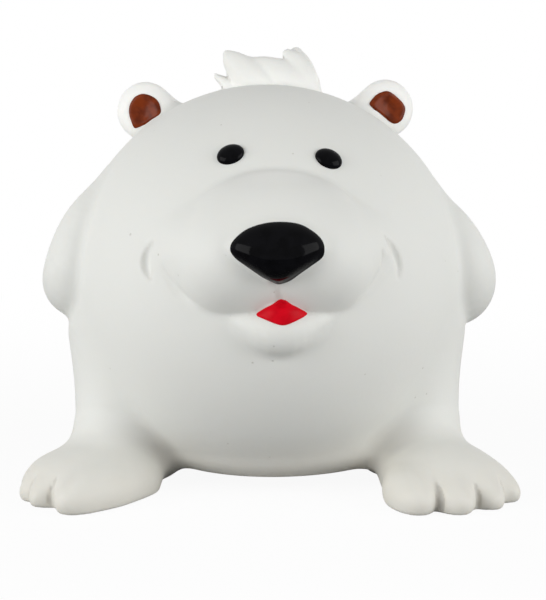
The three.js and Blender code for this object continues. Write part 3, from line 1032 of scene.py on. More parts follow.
    def pad(self, foot: Foot, along: float, radii: Place) -> Form:
        """Shapes an egg on a foot's middle line.

        Args:
            foot: The foot.
            along: How far forwards the egg is.
            radii: Its half sizes.

        Returns:
            The egg.
        """
        centre = self.foot_place(foot, 0, along, radii[2] * self.foot_sink_share)
        return Egg(centre, np.asarray(radii, float), turn_about(UP, foot.yaw * foot.side.value))

    def toe(self, foot: Foot, n: int) -> Form:
        """Shapes one toe. The second toe points straight along the foot.

        Args:
            foot: The foot.
            n: The toe's number. The great toe's is 0.

        Returns:
            The toe's form.
        """
        across, along, size = foot.toes[n]
        radii = np.asarray(self.toe_radii) * size
        centre = self.foot_place(
            foot, across * self.toe_pitch, along * self.toe_reach, radii[2] * self.toe_sink_share)
        return Egg(centre, radii, turn_about(UP, (foot.yaw + (n - 1) * self.toe_fan) * foot.side.value))

    def cleft(self, form: Form, foot: Foot, n: int) -> Form:
        """Shapes everything outside the cleft between a toe and the next one.

        Args:
            form: The leg, on which the cleft is laid.
            foot: The foot.
            n: The first toe's number.

        Returns:
            The form that the leg is cut to.
        """
        (across, along, size), (next_across, next_along, next_size) = foot.toes[n : n + 2]
        between = across + (next_across - across) * size / (size + next_size)
        forward = (along + next_along) / 2
        inside = self.foot_place(
            foot, between * self.toe_pitch, forward * self.toe_reach, self.cleft_height)
        yaw = (foot.yaw + (n - 0.5) * self.toe_fan) * foot.side.value
        spots = np.array([form.on_ray(inside, heading(yaw, rise)) for rise in self.cleft_rises])
        return Outside(Limb(smooth_path(spots, self.cleft_steps), self.cleft_radii).boxed())

    def arm(self, arm: Arm) -> Form:
        """Returns an arm, from its shoulder round to the paw on the bear's back."""
        places = np.array([self.on_body(self.mirrored(shares, arm.side)) for shares in arm.shares])
        return Limb(smooth_path(places, self.arm_steps), self.arm_radii).boxed()

    def ear_axis(self, side: Side) -> Array:
        """Returns the direction that an ear's dish looks in."""
        yaw, lean = math.radians(self.ear_yaw), math.radians(self.ear_lean)
        return unit((math.sin(yaw) * side.value, -math.cos(yaw), math.sin(lean)))

    def ear(self, side: Side) -> Form:
        """Shapes an ear: a thick disc, dished for its paint, that runs in to the head at its root.

        Args:
            side: The ear's side.

        Returns:
            The ear's form.
        """
        centre = self.on_body(EARS[side])
        axis = self.ear_axis(side)
        turn = facing(axis)
        disc = Egg(centre, np.array([self.ear_radius, self.ear_radius, self.ear_thickness]), turn)
        depth = self.ear_radius / 2
        width = self.ear_radius * self.ear_dish_share
        above = self.ear_thickness + depth - self.ear_dish
        dish = Egg(centre + axis * above, np.array([width, width, depth]), turn)
        root = np.asarray(self.mirrored(self.ear_root_shares, side)) * self.body_radius
        start = centre - axis * self.ear_thickness
        widths = (self.ear_radius * self.ear_web_share, self.ear_root_radius)
        web = Limb(np.array([start, start + root]), widths)
        whole = Meet(self.ear_dish, [Blend(self.ear_fillet, [disc, web]), Outside(dish)])
        reach = self.ear_radius * 2
        return Near(whole, centre - reach, centre + reach)

    @cached_property
    def tuft(self) -> Form:
        """Builds the locks of hair that sweep up from the bear's left to its right.

        Returns:
            Their form.
        """
        locks = []
        for lock in LOCKS:
            places = np.array([self.on_body(shares) for shares in lock.shares])
            locks.append(Limb(smooth_path(places, self.lock_steps), lock.radii).boxed())
        return Blend(self.lock_fillet, locks)

    @cached_property
    def tail(self) -> Form:
        """The stub of a tail."""
        return Egg(self.on_body(self.tail_shares), np.asarray(self.tail_radii)).boxed()

    def surface_path(self, headings: Sequence[Place], steps: int) -> Array:
        """Lays a smooth path on the face.

        Args:
            headings: The azimuth and elevation of each place on it.
            steps: How many stretches it is split into.

        Returns:
            The path's points.
        """
        spots = np.array([self.face.on_ray(self.middle, heading(*angles)) for angles in headings])
        return smooth_path(spots, steps)

    @cached_property
    def creases(self) -> list[Crease]:
        """The soft creases of the smile, the cheeks and the cleft under the nose."""
        steps = self.crease_steps
        return [Crease(self.surface_path(headings, steps), *sizes) for headings, *sizes in CREASES]

    @cached_property
    def dimples(self) -> list[Form]:
        """Everything outside each of the narrow dimples that end the smile."""
        paths = [(self.surface_path(headings, self.dimple_steps), radii) for headings, radii in DIMPLES]
        return [Outside(Limb(path, radii).boxed()) for path, radii in paths]

    @cached_property
    def bear(self) -> Form:
        """Builds the whole outer surface of the toy.

        Returns:
            Its form.
        """
        form: Form = Meet(self.dimple_rounding, [Creased(self.face, self.creases), *self.dimples])
        for foot in FEET:
            form = Blend(self.leg_fillet, [form, self.leg(foot)])
        for arm in ARMS:
            form = Blend(self.arm_fillet, [form, self.arm(arm)])
        for side in SIDES:
            form = Blend(self.ear_fillet, [form, self.ear(side)])
        form = Blend(self.tuft_fillet, [form, self.tuft])
        form = Blend(self.tail_fillet, [form, self.tail])
        return Meet(self.floor_rounding, [form, Plane(np.zeros(3), -np.array(UP, float))])


@dataclass(frozen=True)
class Foot:
    """Where one foot stands, how far it is turned out, and its toes' places and sizes.

    Attributes:
        side: The foot's side.
        yaw: Degrees that it is turned out.
        place_shares: Where its middle is on the floor.
        heel_shares: Where its heel is on the floor.
        hip_shares: Where its leg starts in the body.
        ankle_shares: Where its leg ends over the foot.
        toes: How far across and along each toe is, and its size, from the great toe outwards.
    """

    side: Side
    yaw: float
    place_shares: Place
    heel_shares: Place
    hip_shares: Place
    ankle_shares: Place
    toes: Sequence[Place]


@dataclass(frozen=True)
class Lock:
    """A lock of hair, from its root to its tip."""

    radii: Place
    shares: Sequence[Place]


@dataclass(frozen=True)
class Arm:
    """One arm's places, from its shoulder to the paw on the bear's back."""

    side: Side
    shares: Sequence[Place]


# Places are shares of the ball body, as in BearShape. A toe is how far across and along it is, and its size.
FEET = (
    Foot(
        Side.RIGHT, 46, (-0.69, -0.3), (-0.67, -0.1), (-0.705, -0.13, -0.3), (-0.775, -0.28, 0.33),
        ((-1.04, 0.76, 1.24), (0.06, 0.88, 0.82), (0.7, 0.81, 0.8), (1.18, 0.65, 0.76)),
    ),
    Foot(
        Side.LEFT, 20, (0.75, -0.33), (0.71, -0.1), (0.69, -0.13, -0.3), (0.755, -0.28, 0.33),
        ((-1.56, 0.72, 1.16), (-0.6, 0.875, 1.04), (0.46, 0.88, 0.88), (1.22, 0.73, 0.86)),
    ),
)
# Each crease: a path of azimuths and elevations, its width, its depth, and the share that fades at an end.
CREASES = (
    (((-34, 14.5), (-32.5, 11.5), (-29.5, 7.6), (-25, 4.1), (-20.6, 1.9)), 0.8, 0.8, 0.45),
    (((33, 15), (31.8, 13), (28.5, 9.2), (24, 4.8), (20.2, 2.1)), 0.8, 0.8, 0.45),
    (((-0.6, 9.5), (-0.3, 7), (0.3, 4.2)), 1.1, 0.8, 0.05),
)
# Each dimple: such a path, and the groove's radii along it.
DIMPLES = (
    (((-37.7, 18.9), (-39.2, 15.8), (-39.4, 13), (-38.4, 10.4), (-36.8, 8.2)), (0.2, 0.9, 1.25, 0.9, 0.2)),
    (((32.8, 20), (35, 17.2), (36.6, 14.3), (37.3, 11.4), (36.8, 8.4)), (0.2, 0.75, 1.05, 0.75, 0.2)),
    (((30.6, 16.3), (30.7, 13.8), (30, 11.4)), (0.2, 0.55, 0.2)),
)
LOCKS = (
    Lock((4.4, 4.3, 3, 1.1), (
        (0.029, 0.447, 0.912), (-0.064, 0.468, 0.999), (-0.136, 0.489, 1.066), (-0.183, 0.511, 1.116),
    )),
    Lock((4.4, 4.2, 2.9, 1.1), (
        (0.21, 0.426, 0.908), (0.117, 0.447, 0.995), (0.025, 0.468, 1.046), (-0.063, 0.489, 1.081),
    )),
    Lock((3.4, 3.3, 2.7, 1.4), (
        (0.24, 0.426, 0.897), (0.215, 0.447, 1), (0.175, 0.468, 1.07), (0.135, 0.489, 1.117),
    )),
    Lock((2.8, 2.4, 1.6), ((0.245, 0.489, 0.959), (0.215, 0.511, 1.052), (0.18, 0.532, 1.118))),
    Lock((3, 2.4, 1), ((-0.11, 0.45, 0.885), (-0.2, 0.46, 0.89), (-0.275, 0.47, 0.893))),
    Lock((3, 1.8, 0.5), ((-0.106, 0.468, 0.9), (-0.173, 0.489, 0.955), (-0.25, 0.511, 1.01))),
    Lock((5.4, 4.8, 4.2, 1.6), (
        (0.25, 0.64, 0.7), (0.211, 0.68, 0.86), (0.106, 0.702, 0.975), (0.011, 0.723, 1.034),
    )),
    Lock((5.4, 4.8, 4.2, 1.6), (
        (0.08, 0.64, 0.7), (0.025, 0.68, 0.86), (-0.08, 0.702, 0.965), (-0.148, 0.723, 1.024),
    )),
)
EARS = {Side.RIGHT: (-0.612, 0.319, 0.842), Side.LEFT: (0.632, 0.319, 0.849)}
# The outline of the paint in each ear, then its width and height, and how far its middle is off the dish's.
EAR_OUTLINES = {
    Side.RIGHT: (
        (1, 0.08), (0.82, 0.55), (0.45, 0.85), (-0.05, 1), (-0.4, 0.94), (-0.7, 0.74), (-0.94, 0.32),
        (-0.97, -0.15), (-0.82, -0.62), (-0.64, -0.97), (-0.4, -0.97), (0.1, -0.75), (0.45, -0.5),
        (0.94, -0.2),
    ),
    Side.LEFT: (
        (1, -0.06), (0.84, 0.3), (0.57, 0.6), (0.3, 0.85), (-0.03, 1), (-0.51, 0.85), (-0.84, 0.55),
        (-1.03, 0.24), (-0.84, -0.06), (-0.51, -0.3), (-0.19, -0.6), (0.14, -0.91), (0.46, -1),
        (0.78, -0.79), (0.95, -0.42),
    ),
}
EAR_COAT_SIZES = {Side.RIGHT: (8.1, 8.3), Side.LEFT: (9.0, 8.0)}
EAR_COAT_OFFSETS = {Side.RIGHT: (0.55, -0.15), Side.LEFT: (-0.45, 0.1)}
ARMS = (
    Arm(Side.RIGHT, (
        (0.75, -0.06, 0.52), (0.885, -0.13, 0.29), (0.945, -0.115, 0.06),
        (0.92, 0.2, -0.02), (0.7, 0.68, -0.1), (0.42, 0.87, -0.1),
    )),
    Arm(Side.LEFT, (
        (0.79, -0.06, 0.43), (0.91, -0.12, 0.22), (0.97, -0.1, 0.02),
        (0.94, 0.24, -0.105), (0.72, 0.68, -0.17), (0.44, 0.87, -0.15),
    )),
)


@dataclass
class LatexSkin:
    """The cast skin, with the hole and the pocket that its squeaker sits in."""

    shape: BearShape
    wall: float = 2.0
    hole_radius: float = 9.0
    bed_radius: float = 11.8
    pocket_radius: float = 12.5
    pocket_height: float = 24.0
    squeaker_offset: float = 5.0
    edge_rounding: float = 0.3
    crevice_reaches: Place = (0.6, 1.1, 1.8)
    box_low: Place = (-62, -62, -3)
    box_high: Place = (62, 56, 103)

    def form(self) -> Form:
        """Cuts the squeaker's bed, hole and pocket out of the bear.

        Returns:
            The skin's form.
        """
        seat = self.shape.seat_height
        axis = np.array([0, self.squeaker_offset, 0])
        deep = seat + self.wall
        cuts = [
            Plug(axis, self.hole_radius, -1, deep + 1),
            Plug(axis, self.bed_radius, -1, seat),
            Plug(axis, self.pocket_radius, deep, deep + self.pocket_height),
        ]
        return Meet(self.edge_rounding, [self.shape.bear, *[Outside(cut) for cut in cuts]])

    def build(self, bench: Workbench, material: bpy.types.Material, cell: float) -> bpy.types.Object:
        """Meshes and dresses the skin.

        Args:
            bench: What places the mesh.
            material: The latex.
            cell: The mesh's spacing in millimetres.

        Returns:
            The skin's object.
        """
        places, faces = Mesher(cell).mesh(self.form(), self.box_low, self.box_high)
        skin = bench.place("latex_skin_fine", places, faces)
        # The crevice attribute masks the painted shade that the latex lays in the skin's creases.
        skin.data.attributes.new(CREVICE, "FLOAT", "POINT")
        skin.data.attributes[CREVICE].data.foreach_set("value", self.crevices(places))
        return bench.finish(skin, material, "latex", "latex_skin")

    def crevices(self, places: Array) -> Array:
        """Works out how closely the skin hems in its own places, as the mask for painted crevice shade.

        Args:
            places: Places on the skin, one to a row.

        Returns:
            Zero for a place in the open, up to one for a place in a slit.
        """
        form = self.shape.bear
        normals = form.normals(places)
        hemmed = [1 - form.distance(places + normals * reach) / reach for reach in self.crevice_reaches]
        return np.clip(sum(hemmed) / len(hemmed), 0, 1)


class Crown(Enum):
    """How a coat of paint is built up over its outline."""

    FILM = 10
    BEAD = 2


@dataclass
class Coat:
    """Paint that lies on the skin inside an outline.

    Attributes:
        name: The piece's name.
        node: The CAD node that it stands for.
        slot: The record's material slot.
        centre: The middle of the outline, on or near the skin.
        turn: Columns that point across, up and out of the outline.
        outline: The outline's points, in shares of half its width and half its height.
        width: The outline's width.
        height: The outline's height.
        thickness: How high the paint stands in its middle.
        crown: Whether it is an even film or a domed bead.
        sink: How deep its underside lies in the skin.
        rings: How many rings of faces it has.
        around: How many vertices a ring has.
        edge_bias: How much closer the rings are near the edge.
        above: How far over the outline's middle the skin is looked for.
    """

    name: str
    node: str
    slot: str
    centre: Array
    turn: Array
    outline: Sequence[Place]
    width: float
    height: float
    thickness: float
    crown: Crown = Crown.FILM
    sink: float = 0.35
    rings: int = 18
    around: int = 84
    edge_bias: float = 1.6
    above: float = 12.0

    def edge(self, angles: Array) -> Array:
        """Finds the outline's points at turns round it.

        Args:
            angles: The turns, from zero to two pi.

        Returns:
            Shares of half the width and half the height, one pair to a row.
        """
        shares = np.array(self.outline)
        looped = np.vstack([shares[-1:], shares, shares[:2]])
        closed = smooth_path(looped, (len(looped) - 1) * OUTLINE_STEPS)[OUTLINE_STEPS:-OUTLINE_STEPS]
        places = np.linspace(0, 1, len(closed))
        at = (angles / (2 * math.pi)) % 1
        return np.column_stack([np.interp(at, places, closed[:, axis]) for axis in (0, 1)])

    def build(self, bench: Workbench, skin: Form, material: bpy.types.Material) -> bpy.types.Object:
        """Lays the paint on the skin, and closes it underneath.

        Args:
            bench: What places the mesh.
            skin: The form that the paint lies on.
            material: The paint.

        Returns:
            The coat's object.
        """
        sheet, faces = polar_sheet(self.rings, self.around)
        rings = 1 - (1 - sheet[:, 0]) ** self.edge_bias
        flat = self.edge(sheet[:, 1]) * rings[:, None] * (self.width / 2, self.height / 2)
        starts = self.centre + flat @ self.turn[:, :2].T + self.turn[:, 2] * self.above
        ways = np.tile(-self.turn[:, 2], (len(starts), 1))
        bed = skin.cast(starts, ways, self.above * 2)
        normals = skin.normals(bed)
        lift = self.thickness * (1 - rings ** self.crown.value) ** 0.5
        top = bed + normals * lift[:, None]
        under = bed - normals * self.sink
        count = len(top)
        edge = range(count - self.around, count)
        walls = [(a, a + count, b + count, b) for a, b in zip(edge, [*edge[1:], edge[0]])]
        lower = [tuple(v + count for v in reversed(face)) for face in faces]
        coat = bench.place(self.name, np.vstack([top, under]), [*faces, *lower, *walls])
        return bench.finish(coat, material, self.slot, self.node)


ROUND = tuple((math.cos(t), math.sin(t)) for t in np.linspace(0, 2 * math.pi, 16, endpoint=False))


@dataclass
class Face:
    """The paint on the bear's nose, eyes, tongue and ears."""

    shape: BearShape
    nose_outline: Sequence[Place] = (
        (1, 0.13), (0.94, 0.42), (0.74, 0.71), (0.45, 0.94), (0.06, 1), (-0.32, 0.94), (-0.68, 0.74),
        (-0.94, 0.39), (-1, 0.1), (-0.9, -0.16), (-0.68, -0.42), (-0.3, -0.81), (-0.03, -0.98),
        (0.13, -0.98), (0.3, -0.88), (0.49, -0.68), (0.74, -0.42), (0.96, -0.16),
    )
    tongue_outline: Sequence[Place] = (
        (1, 0), (0.76, 0.27), (0.36, 0.62), (0, 0.98), (-0.36, 0.64), (-0.76, 0.27), (-1, -0.12),
        (-0.66, -0.52), (-0.2, -0.9), (0.12, -0.96), (0.52, -0.67), (0.92, -0.25),
    )
    nose_size: Place = (20.6, 13.1)
    nose_thickness: float = 0.6
    tongue_size: Place = (11.2, 6.0)
    tongue_shares: Place = (0.018, -0.264, 1.1)
    film_thickness: float = 0.5
    eye_size: Place = (6.4, 5.5)
    eye_thickness: float = 1.5
    eye_roll: float = 34.0
    eye_headings: Sequence[tuple[Side, Place]] = (
        (Side.RIGHT, (-17.6, 46.6)),
        (Side.LEFT, (21.8, 44.7)),
    )

    def nose(self) -> Coat:
        """Lays out the nose's black paint.

        Returns:
            Its coat.
        """
        shape = self.shape
        centre = shape.on_face(shape.nose_shares)
        return Coat("nose_paint", "nose_coat", "black_paint", centre, shape.face_turn,
                    self.nose_outline, *self.nose_size, self.nose_thickness)

    def tongue(self) -> Coat:
        """Lays out the tongue's red paint.

        Returns:
            Its coat.
        """
        shape = self.shape
        centre = shape.on_face(self.tongue_shares)
        return Coat("tongue_paint", "tongue_coat", "red_paint", centre, shape.face_turn,
                    self.tongue_outline, *self.tongue_size, self.film_thickness)

    def eye(self, side: Side, angles: Place) -> Coat:
        """Shapes one eye's bead of black paint.

        Args:
            side: The eye's side.
            angles: Its azimuth and elevation.

        Returns:
            The coat.
        """
        out = heading(*angles)
        centre = self.shape.face.on_ray(self.shape.middle, out)
        turn = facing(out) @ turn_about(UP, -self.eye_roll * side.value)
        name = f"{side.name.lower()}_eye"
        return Coat(f"{name}_paint", f"{name}_coat", "black_paint", centre, turn,
                    ROUND, *self.eye_size, self.eye_thickness, Crown.BEAD)

    def ear(self, side: Side) -> Coat:
        """Shapes the brown paint in one ear's dish.

        Args:
            side: The ear's side.

        Returns:
            The coat.
        """
        shape = self.shape
        axis = shape.ear_axis(side)
        turn = facing(axis)
        centre = shape.on_body(EARS[side]) + turn @ (*EAR_COAT_OFFSETS[side], shape.ear_thickness)
        name = f"{side.name.lower()}_ear"
        return Coat(f"{name}_paint", f"{name}_coat", "brown_paint", centre, turn,
                    EAR_OUTLINES[side], *EAR_COAT_SIZES[side], self.film_thickness)


@dataclass
class Squeaker:
    """The squeaker's housing, turned as one fine profile. All heights are from the seat."""

    skin: LatexSkin
    flange_radius: float = 11.5
    flange_thickness: float = 1.3
    lip_radius: float = 10.2
    lip_thickness: float = 1.4
    barrel_radius: float = 6.2
    barrel_length: float = 15.0
    bore_radius: float = 4.4
    sound_radius: float = 1.8
    clearance: float = 0.3
    cup_floor: float = 0.78
    rounding: float = 0.35
    around: int = 96

    def profile(self) -> list[tuple[float, float]]:
        """Draws the housing's half section, with small rounds on its outer corners.

        Returns:
            The section's points, each how far from the axis and how high.
        """
        neck = self.skin.hole_radius - self.clearance
        neck_top = self.skin.wall + self.clearance
        lip_top = neck_top + self.lip_thickness
        top = lip_top + self.barrel_length
        bottom = -self.flange_thickness
        floor = self.cup_floor
        corners = [
            (self.sound_radius, bottom), (self.flange_radius, bottom), (self.flange_radius, -self.clearance),
            (neck, -self.clearance), (neck, neck_top), (self.lip_radius, neck_top), (neck, lip_top),
            (self.barrel_radius, lip_top), (self.barrel_radius, top), (self.bore_radius, top),
            (self.bore_radius, floor), (self.sound_radius, floor),
        ]
        return self.rounded(corners)

    def rounded(self, corners: list[tuple[float, float]]) -> list[tuple[float, float]]:
        """Replaces each corner by a small round of three points.

        Args:
            corners: The profile's corners, each as radius and height.

        Returns:
            The rounded profile.
        """
        out = []
        for before, here, after in zip(corners[-1:] + corners[:-1], corners, corners[1:] + corners[:1]):
            a, b, c = (np.asarray(p, float) for p in (before, here, after))
            reach = min(self.rounding, np.linalg.norm(a - b) / 3, np.linalg.norm(c - b) / 3)
            first, last = b + unit(a - b) * reach, b + unit(c - b) * reach
            middle = (first + last) / 4 + b / 2
            out.extend([tuple(first), tuple(middle), tuple(last)])
        return out

    def build(self, bench: Workbench, material: bpy.types.Material, place: Array) -> bpy.types.Object:
        """Turns and dresses the housing.

        Args:
            bench: What places the mesh.
            material: The housing's plastic.
            place: The middle of the squeaker's bed on the seat.

        Returns:
            The housing's object.
        """
        profile = self.profile()
        angles = np.linspace(0, 2 * math.pi, self.around, endpoint=False)
        level = np.zeros(self.around)
        rows = [np.column_stack([np.cos(angles) * r, np.sin(angles) * r, level + z]) for r, z in profile]
        faces = []
        for ring in range(len(profile)):
            here, after = ring * self.around, (ring + 1) % len(profile) * self.around
            for spoke in range(self.around):
                beside = (spoke + 1) % self.around
                faces.append((here + spoke, here + beside, after + beside, after + spoke))
        housing = bench.place("squeaker_housing_fine", np.vstack(rows) + place, faces)
        return bench.finish(housing, material, "squeaker_plastic", "squeaker_housing")


# Shader maths


class Wire:
    """A value in a shader that Python's operators can combine with others or with numbers."""

    def __init__(self, shader: Shader, source: bpy.types.NodeSocket) -> None:
        """Keeps the socket and the shader that it is in."""
        self.shader = shader
        self.source = source

    def __add__(self, other: Wire | Number) -> Wire:
        """Adds a value."""
        return self.shader.maths("ADD", self, other)

    def __radd__(self, other: Number) -> Wire:
        """Adds this value to a number."""
        return self.shader.maths("ADD", other, self)

    def __sub__(self, other: Wire | Number) -> Wire:
        """Takes a value away."""
        return self.shader.maths("SUBTRACT", self, other)

    def __rsub__(self, other: Number) -> Wire:
        """Takes this value away from a number."""
        return self.shader.maths("SUBTRACT", other, self)

    def __mul__(self, other: Wire | Number) -> Wire:
        """Multiplies by a value."""
        return self.shader.maths("MULTIPLY", self, other)

    def __rmul__(self, other: Number) -> Wire:
        """Multiplies a number by this value."""
        return self.shader.maths("MULTIPLY", other, self)

    def __lt__(self, other: Wire | Number) -> Wire:
        """Gives one where this value is the less, and zero elsewhere."""
        return self.shader.maths("LESS_THAN", self, other)

    def rise(self, low: float, high: float) -> Wire:
        """Gives zero below low and one above high, smoothly between."""
        return self.shader.node(
            "ShaderNodeMapRange", {"interpolation_type": "SMOOTHSTEP"},
            {"Value": self, "From Min": low, "From Max": high})


class Shader:
    """The node tree of one material, built from expressions.

    Attributes:
        DOT_CORE: The share of a dot's radius over which it is at its full strength.
    """

    DOT_CORE = 0.4

    def __init__(self, name: str) -> None:
        """Starts a material with a principled shader and the piece's own coordinates in millimetres.

        Args:
            name: The material's name.
        """
        self.material = bpy.data.materials.new(name)
        self.material.use_nodes = True
        self.tree = self.material.node_tree
        self.surface = self.tree.nodes["Principled BSDF"]
        own = self.node("ShaderNodeTexCoord", {}, {}, "Object")
        self.place = self.node("ShaderNodeVectorMath", {"operation": "SCALE"}, {0: own, "Scale": 1 / MM})

    def node(
        self, kind: str, settings: dict[str, object], values: dict[str | int, object], output: str | int = 0
    ) -> Wire:
        """Adds a node and returns one of its outputs.

        Args:
            kind: The node's type.
            settings: Its own settings, which are set before its sockets.
            values: Numbers, colours or wires for its input sockets.
            output: Which output to return.

        Returns:
            The output, ready for more maths.
        """
        made = self.tree.nodes.new(kind)
        for name, value in settings.items():
            setattr(made, name, value)
        for name, value in values.items():
            socket = made.inputs[name]
            if isinstance(value, Wire):
                self.tree.links.new(value.source, socket)
            else:
                socket.default_value = value
        return Wire(self, made.outputs[output])

    def maths(self, operation: str, a: Wire | Number, b: Wire | Number = 0.0) -> Wire:
        """Adds a Math node."""
        return self.node("ShaderNodeMath", {"operation": operation}, {0: a, 1: b})

    def mix(self, share: Wire | Number, a: Wire | Place, b: Wire | Place) -> Wire:
        """Mixes two colours.

        Args:
            share: The share of the second colour.
            a: The first colour.
            b: The second colour.

        Returns:
            The mixed colour. A Mix node's sockets 6 and 7 and its output 2 are its colours.
        """
        first, second = (tone if isinstance(tone, Wire) else (*tone, 1) for tone in (a, b))
        return self.node("ShaderNodeMix", {"data_type": "RGBA"}, {0: share, 6: first, 7: second}, 2)

    def noise(self, size: float, detail: float = 2.0, roughness: float = 0.5) -> Wire:
        """Makes cloudy noise.

        Args:
            size: About how far apart its clouds are, in millimetres.
            detail: How many finer layers it has.
            roughness: How strong the finer layers are.

        Returns:
            The noise, from zero to one.
        """
        return self.node(
            "ShaderNodeTexNoise", {},
            {"Vector": self.place, "Scale": 1 / size, "Detail": detail, "Roughness": roughness})

    def dots(self, spacing: float, radius: float, share: float) -> Wire:
        """Scatters soft dots.

        Args:
            spacing: How far apart the dots' cells are, in millimetres.
            radius: A dot's radius in millimetres.
            share: The share of cells that have a dot.

        Returns:
            One in a dot's middle, and zero between dots.
        """
        settings = {"voronoi_dimensions": "3D", "feature": "F1"}
        values = {"Vector": self.place, "Scale": 1 / spacing, "Randomness": 1.0}
        gap = self.node("ShaderNodeTexVoronoi", settings, values, "Distance")
        tint = self.node("ShaderNodeTexVoronoi", settings, values, "Color")
        pick = self.node("ShaderNodeSeparateColor", {}, {"Color": tint}, "Red")
        return (1 - (gap * spacing).rise(radius * self.DOT_CORE, radius)) * (pick < share)

    def axis(self, name: str) -> Wire:
        """Returns one of the piece's own coordinates, in millimetres of the frame."""
        return self.node("ShaderNodeSeparateXYZ", {}, {"Vector": self.place}, name)

    def bump(self, height: Wire, depth: float) -> Wire:
        """Bends the normal by a height.

        Args:
            height: The height, as a share of the depth.
            depth: How high one is, in millimetres.

        Returns:
            The bent normal.
        """
        return self.node("ShaderNodeBump", {}, {"Height": height, "Distance": depth * MM, "Strength": 1.0})

    def wear(self, socket: str, value: Wire | Number | Place) -> None:
        """Sets a socket of the principled shader.

        Args:
            socket: The socket's name.
            value: What it gets: a wire, a number or a vector.
        """
        target = self.surface.inputs[socket]
        if isinstance(value, Wire):
            self.tree.links.new(value.source, target)
        else:
            target.default_value = value


class Finish(ABC):
    """What a surface looks like."""

    @abstractmethod
    def material(self) -> bpy.types.Material:
        """Returns a new material."""


@dataclass(frozen=True)
class Latex(Finish):
    """Matte white cast latex: cream toes, painted light on ears and tuft, painted crevice shade, and
    pinholes.

    Attributes:
        middle: The middle of the ball body in the frame, in millimetres.
        white: The latex's colour.
        dull: The colour of its faint clouds.
        cream: The toes' colour.
        ear_and_tuft_light: The colour of the painted light that brightens the thin ears and tuft.
        crevice_shade: The colour of the painted shade in the crevices.
        stain: The colour of the pinholes and marks.
        toe_heights: Between which heights the cream fades out.
        light_reaches: Between which distances from the ball's middle the painted light on the thin latex
            starts.
        light_heights: Between which heights the painted light starts.
        tuft_heights: Between which heights it gives way to the tuft, which gets less painted light.
        crevice_range: Between which degrees of hemming the painted shade starts.
        crevice_shade_share: How strong the painted shade is in the tightest crevice.
        roughness: How dull it is.
        gloss: How strongly it mirrors.
        glow: How much of the light goes in under its surface.
        glow_reach: How far that light gets, in metres.
        relief: How high its grain is, in millimetres.
        cloud_size: How far apart its clouds are, in millimetres.
        speckle: Its grain's size in millimetres, its finer layers and their strength.
        grain_size: How far apart its coarser grain is, in millimetres.
        pits: How far apart its pinholes are, their radius, both in millimetres, and how many there are.
        marks: The same of its larger marks.
        pit_share: How much stain there is in a pinhole.
        mark_share: How much stain there is in a mark.
    """

    middle: Place
    white: Place = (0.775, 0.782, 0.748)
    dull: Place = (0.6665, 0.67252, 0.64328)
    cream: Place = (0.72, 0.66, 0.55)
    ear_and_tuft_light: Place = (0.93, 0.93, 0.9)
    crevice_shade: Place = (0.4, 0.37, 0.33)
    stain: Place = (0.36, 0.33, 0.28)
    toe_heights: Place = (2, 18)
    light_reaches: Place = (47.5, 50)
    light_heights: Place = (74, 80)
    tuft_heights: Place = (91, 96)
    crevice_range: Place = (0.2, 0.8)
    crevice_shade_share: float = 0.5
    roughness: float = 0.58
    gloss: float = 0.4
    glow: float = 0.12
    glow_reach: float = 0.0012
    relief: float = 0.05
    cloud_size: float = 26.0
    speckle: Place = (1.6, 3, 0.6)
    grain_size: float = 6.0
    pits: Place = (5.2, 0.34, 0.32)
    marks: Place = (11.0, 0.42, 0.3)
    pit_share: float = 0.35
    mark_share: float = 0.4

    def material(self) -> bpy.types.Material:
        """Mixes the latex.

        Returns:
            Its material.
        """
        shader = Shader("latex")
        clouds = shader.noise(self.cloud_size)
        speckle = shader.noise(*self.speckle)
        pits = shader.dots(*self.pits)
        marks = shader.dots(*self.marks)
        shader.wear("Base Color", self.tint(shader, clouds, speckle, pits, marks))
        shader.wear("Roughness", self.roughness + (speckle - 0.5) * 0.16)
        shader.wear("Specular IOR Level", self.gloss)
        shader.wear("Subsurface Weight", self.glow)
        shader.wear("Subsurface Radius", (1.0, 0.8, 0.6))
        shader.wear("Subsurface Scale", self.glow_reach)
        grain = speckle * 0.55 + shader.noise(self.grain_size) * 0.45 - pits * 1.4 - marks * 1.2
        shader.wear("Normal", shader.bump(grain, self.relief))
        return shader.material

    def tint(self, shader: Shader, clouds: Wire, speckle: Wire, pits: Wire, marks: Wire) -> Wire:
        """Colours the latex, with painted light on the ears and tuft and painted shade in the crevices.

        Args:
            shader: The latex's node tree.
            clouds: Its wide clouds.
            speckle: Its fine grain.
            pits: Its pinholes.
            marks: Its larger marks.

        Returns:
            The colour.
        """
        height = shader.axis("Z")
        toes = (1 - height.rise(*self.toe_heights)) * (0.15 + clouds * 0.45)
        tint = shader.mix(toes, self.white, self.cream)
        shade = (clouds - 0.5) * 0.06 + (speckle - 0.5) * 0.035 + 0.06
        tint = shader.mix(shade.rise(0, 0.12) * 0.1, tint, self.dull)
        # Painted light: the thin ears and tuft are made brighter than the body, standing in for the light
        # that makes them glow.
        reach = shader.node(
            "ShaderNodeVectorMath", {"operation": "DISTANCE"}, {0: shader.place, 1: self.middle}, "Value")
        thin = reach.rise(*self.light_reaches) * height.rise(*self.light_heights)
        thin = thin * (1 - height.rise(*self.tuft_heights) * 0.6)
        tint = shader.mix(thin, tint, self.ear_and_tuft_light)
        # Painted shade: the skin is darkened where it hems itself in, in creases, clefts and dimples.
        crevice = shader.node("ShaderNodeAttribute", {"attribute_name": CREVICE}, {}, "Fac")
        tint = shader.mix(crevice.rise(*self.crevice_range) * self.crevice_shade_share, tint, self.crevice_shade)
        tint = shader.mix(pits * self.pit_share, tint, self.stain)
        return shader.mix(marks * self.mark_share, tint, self.stain)


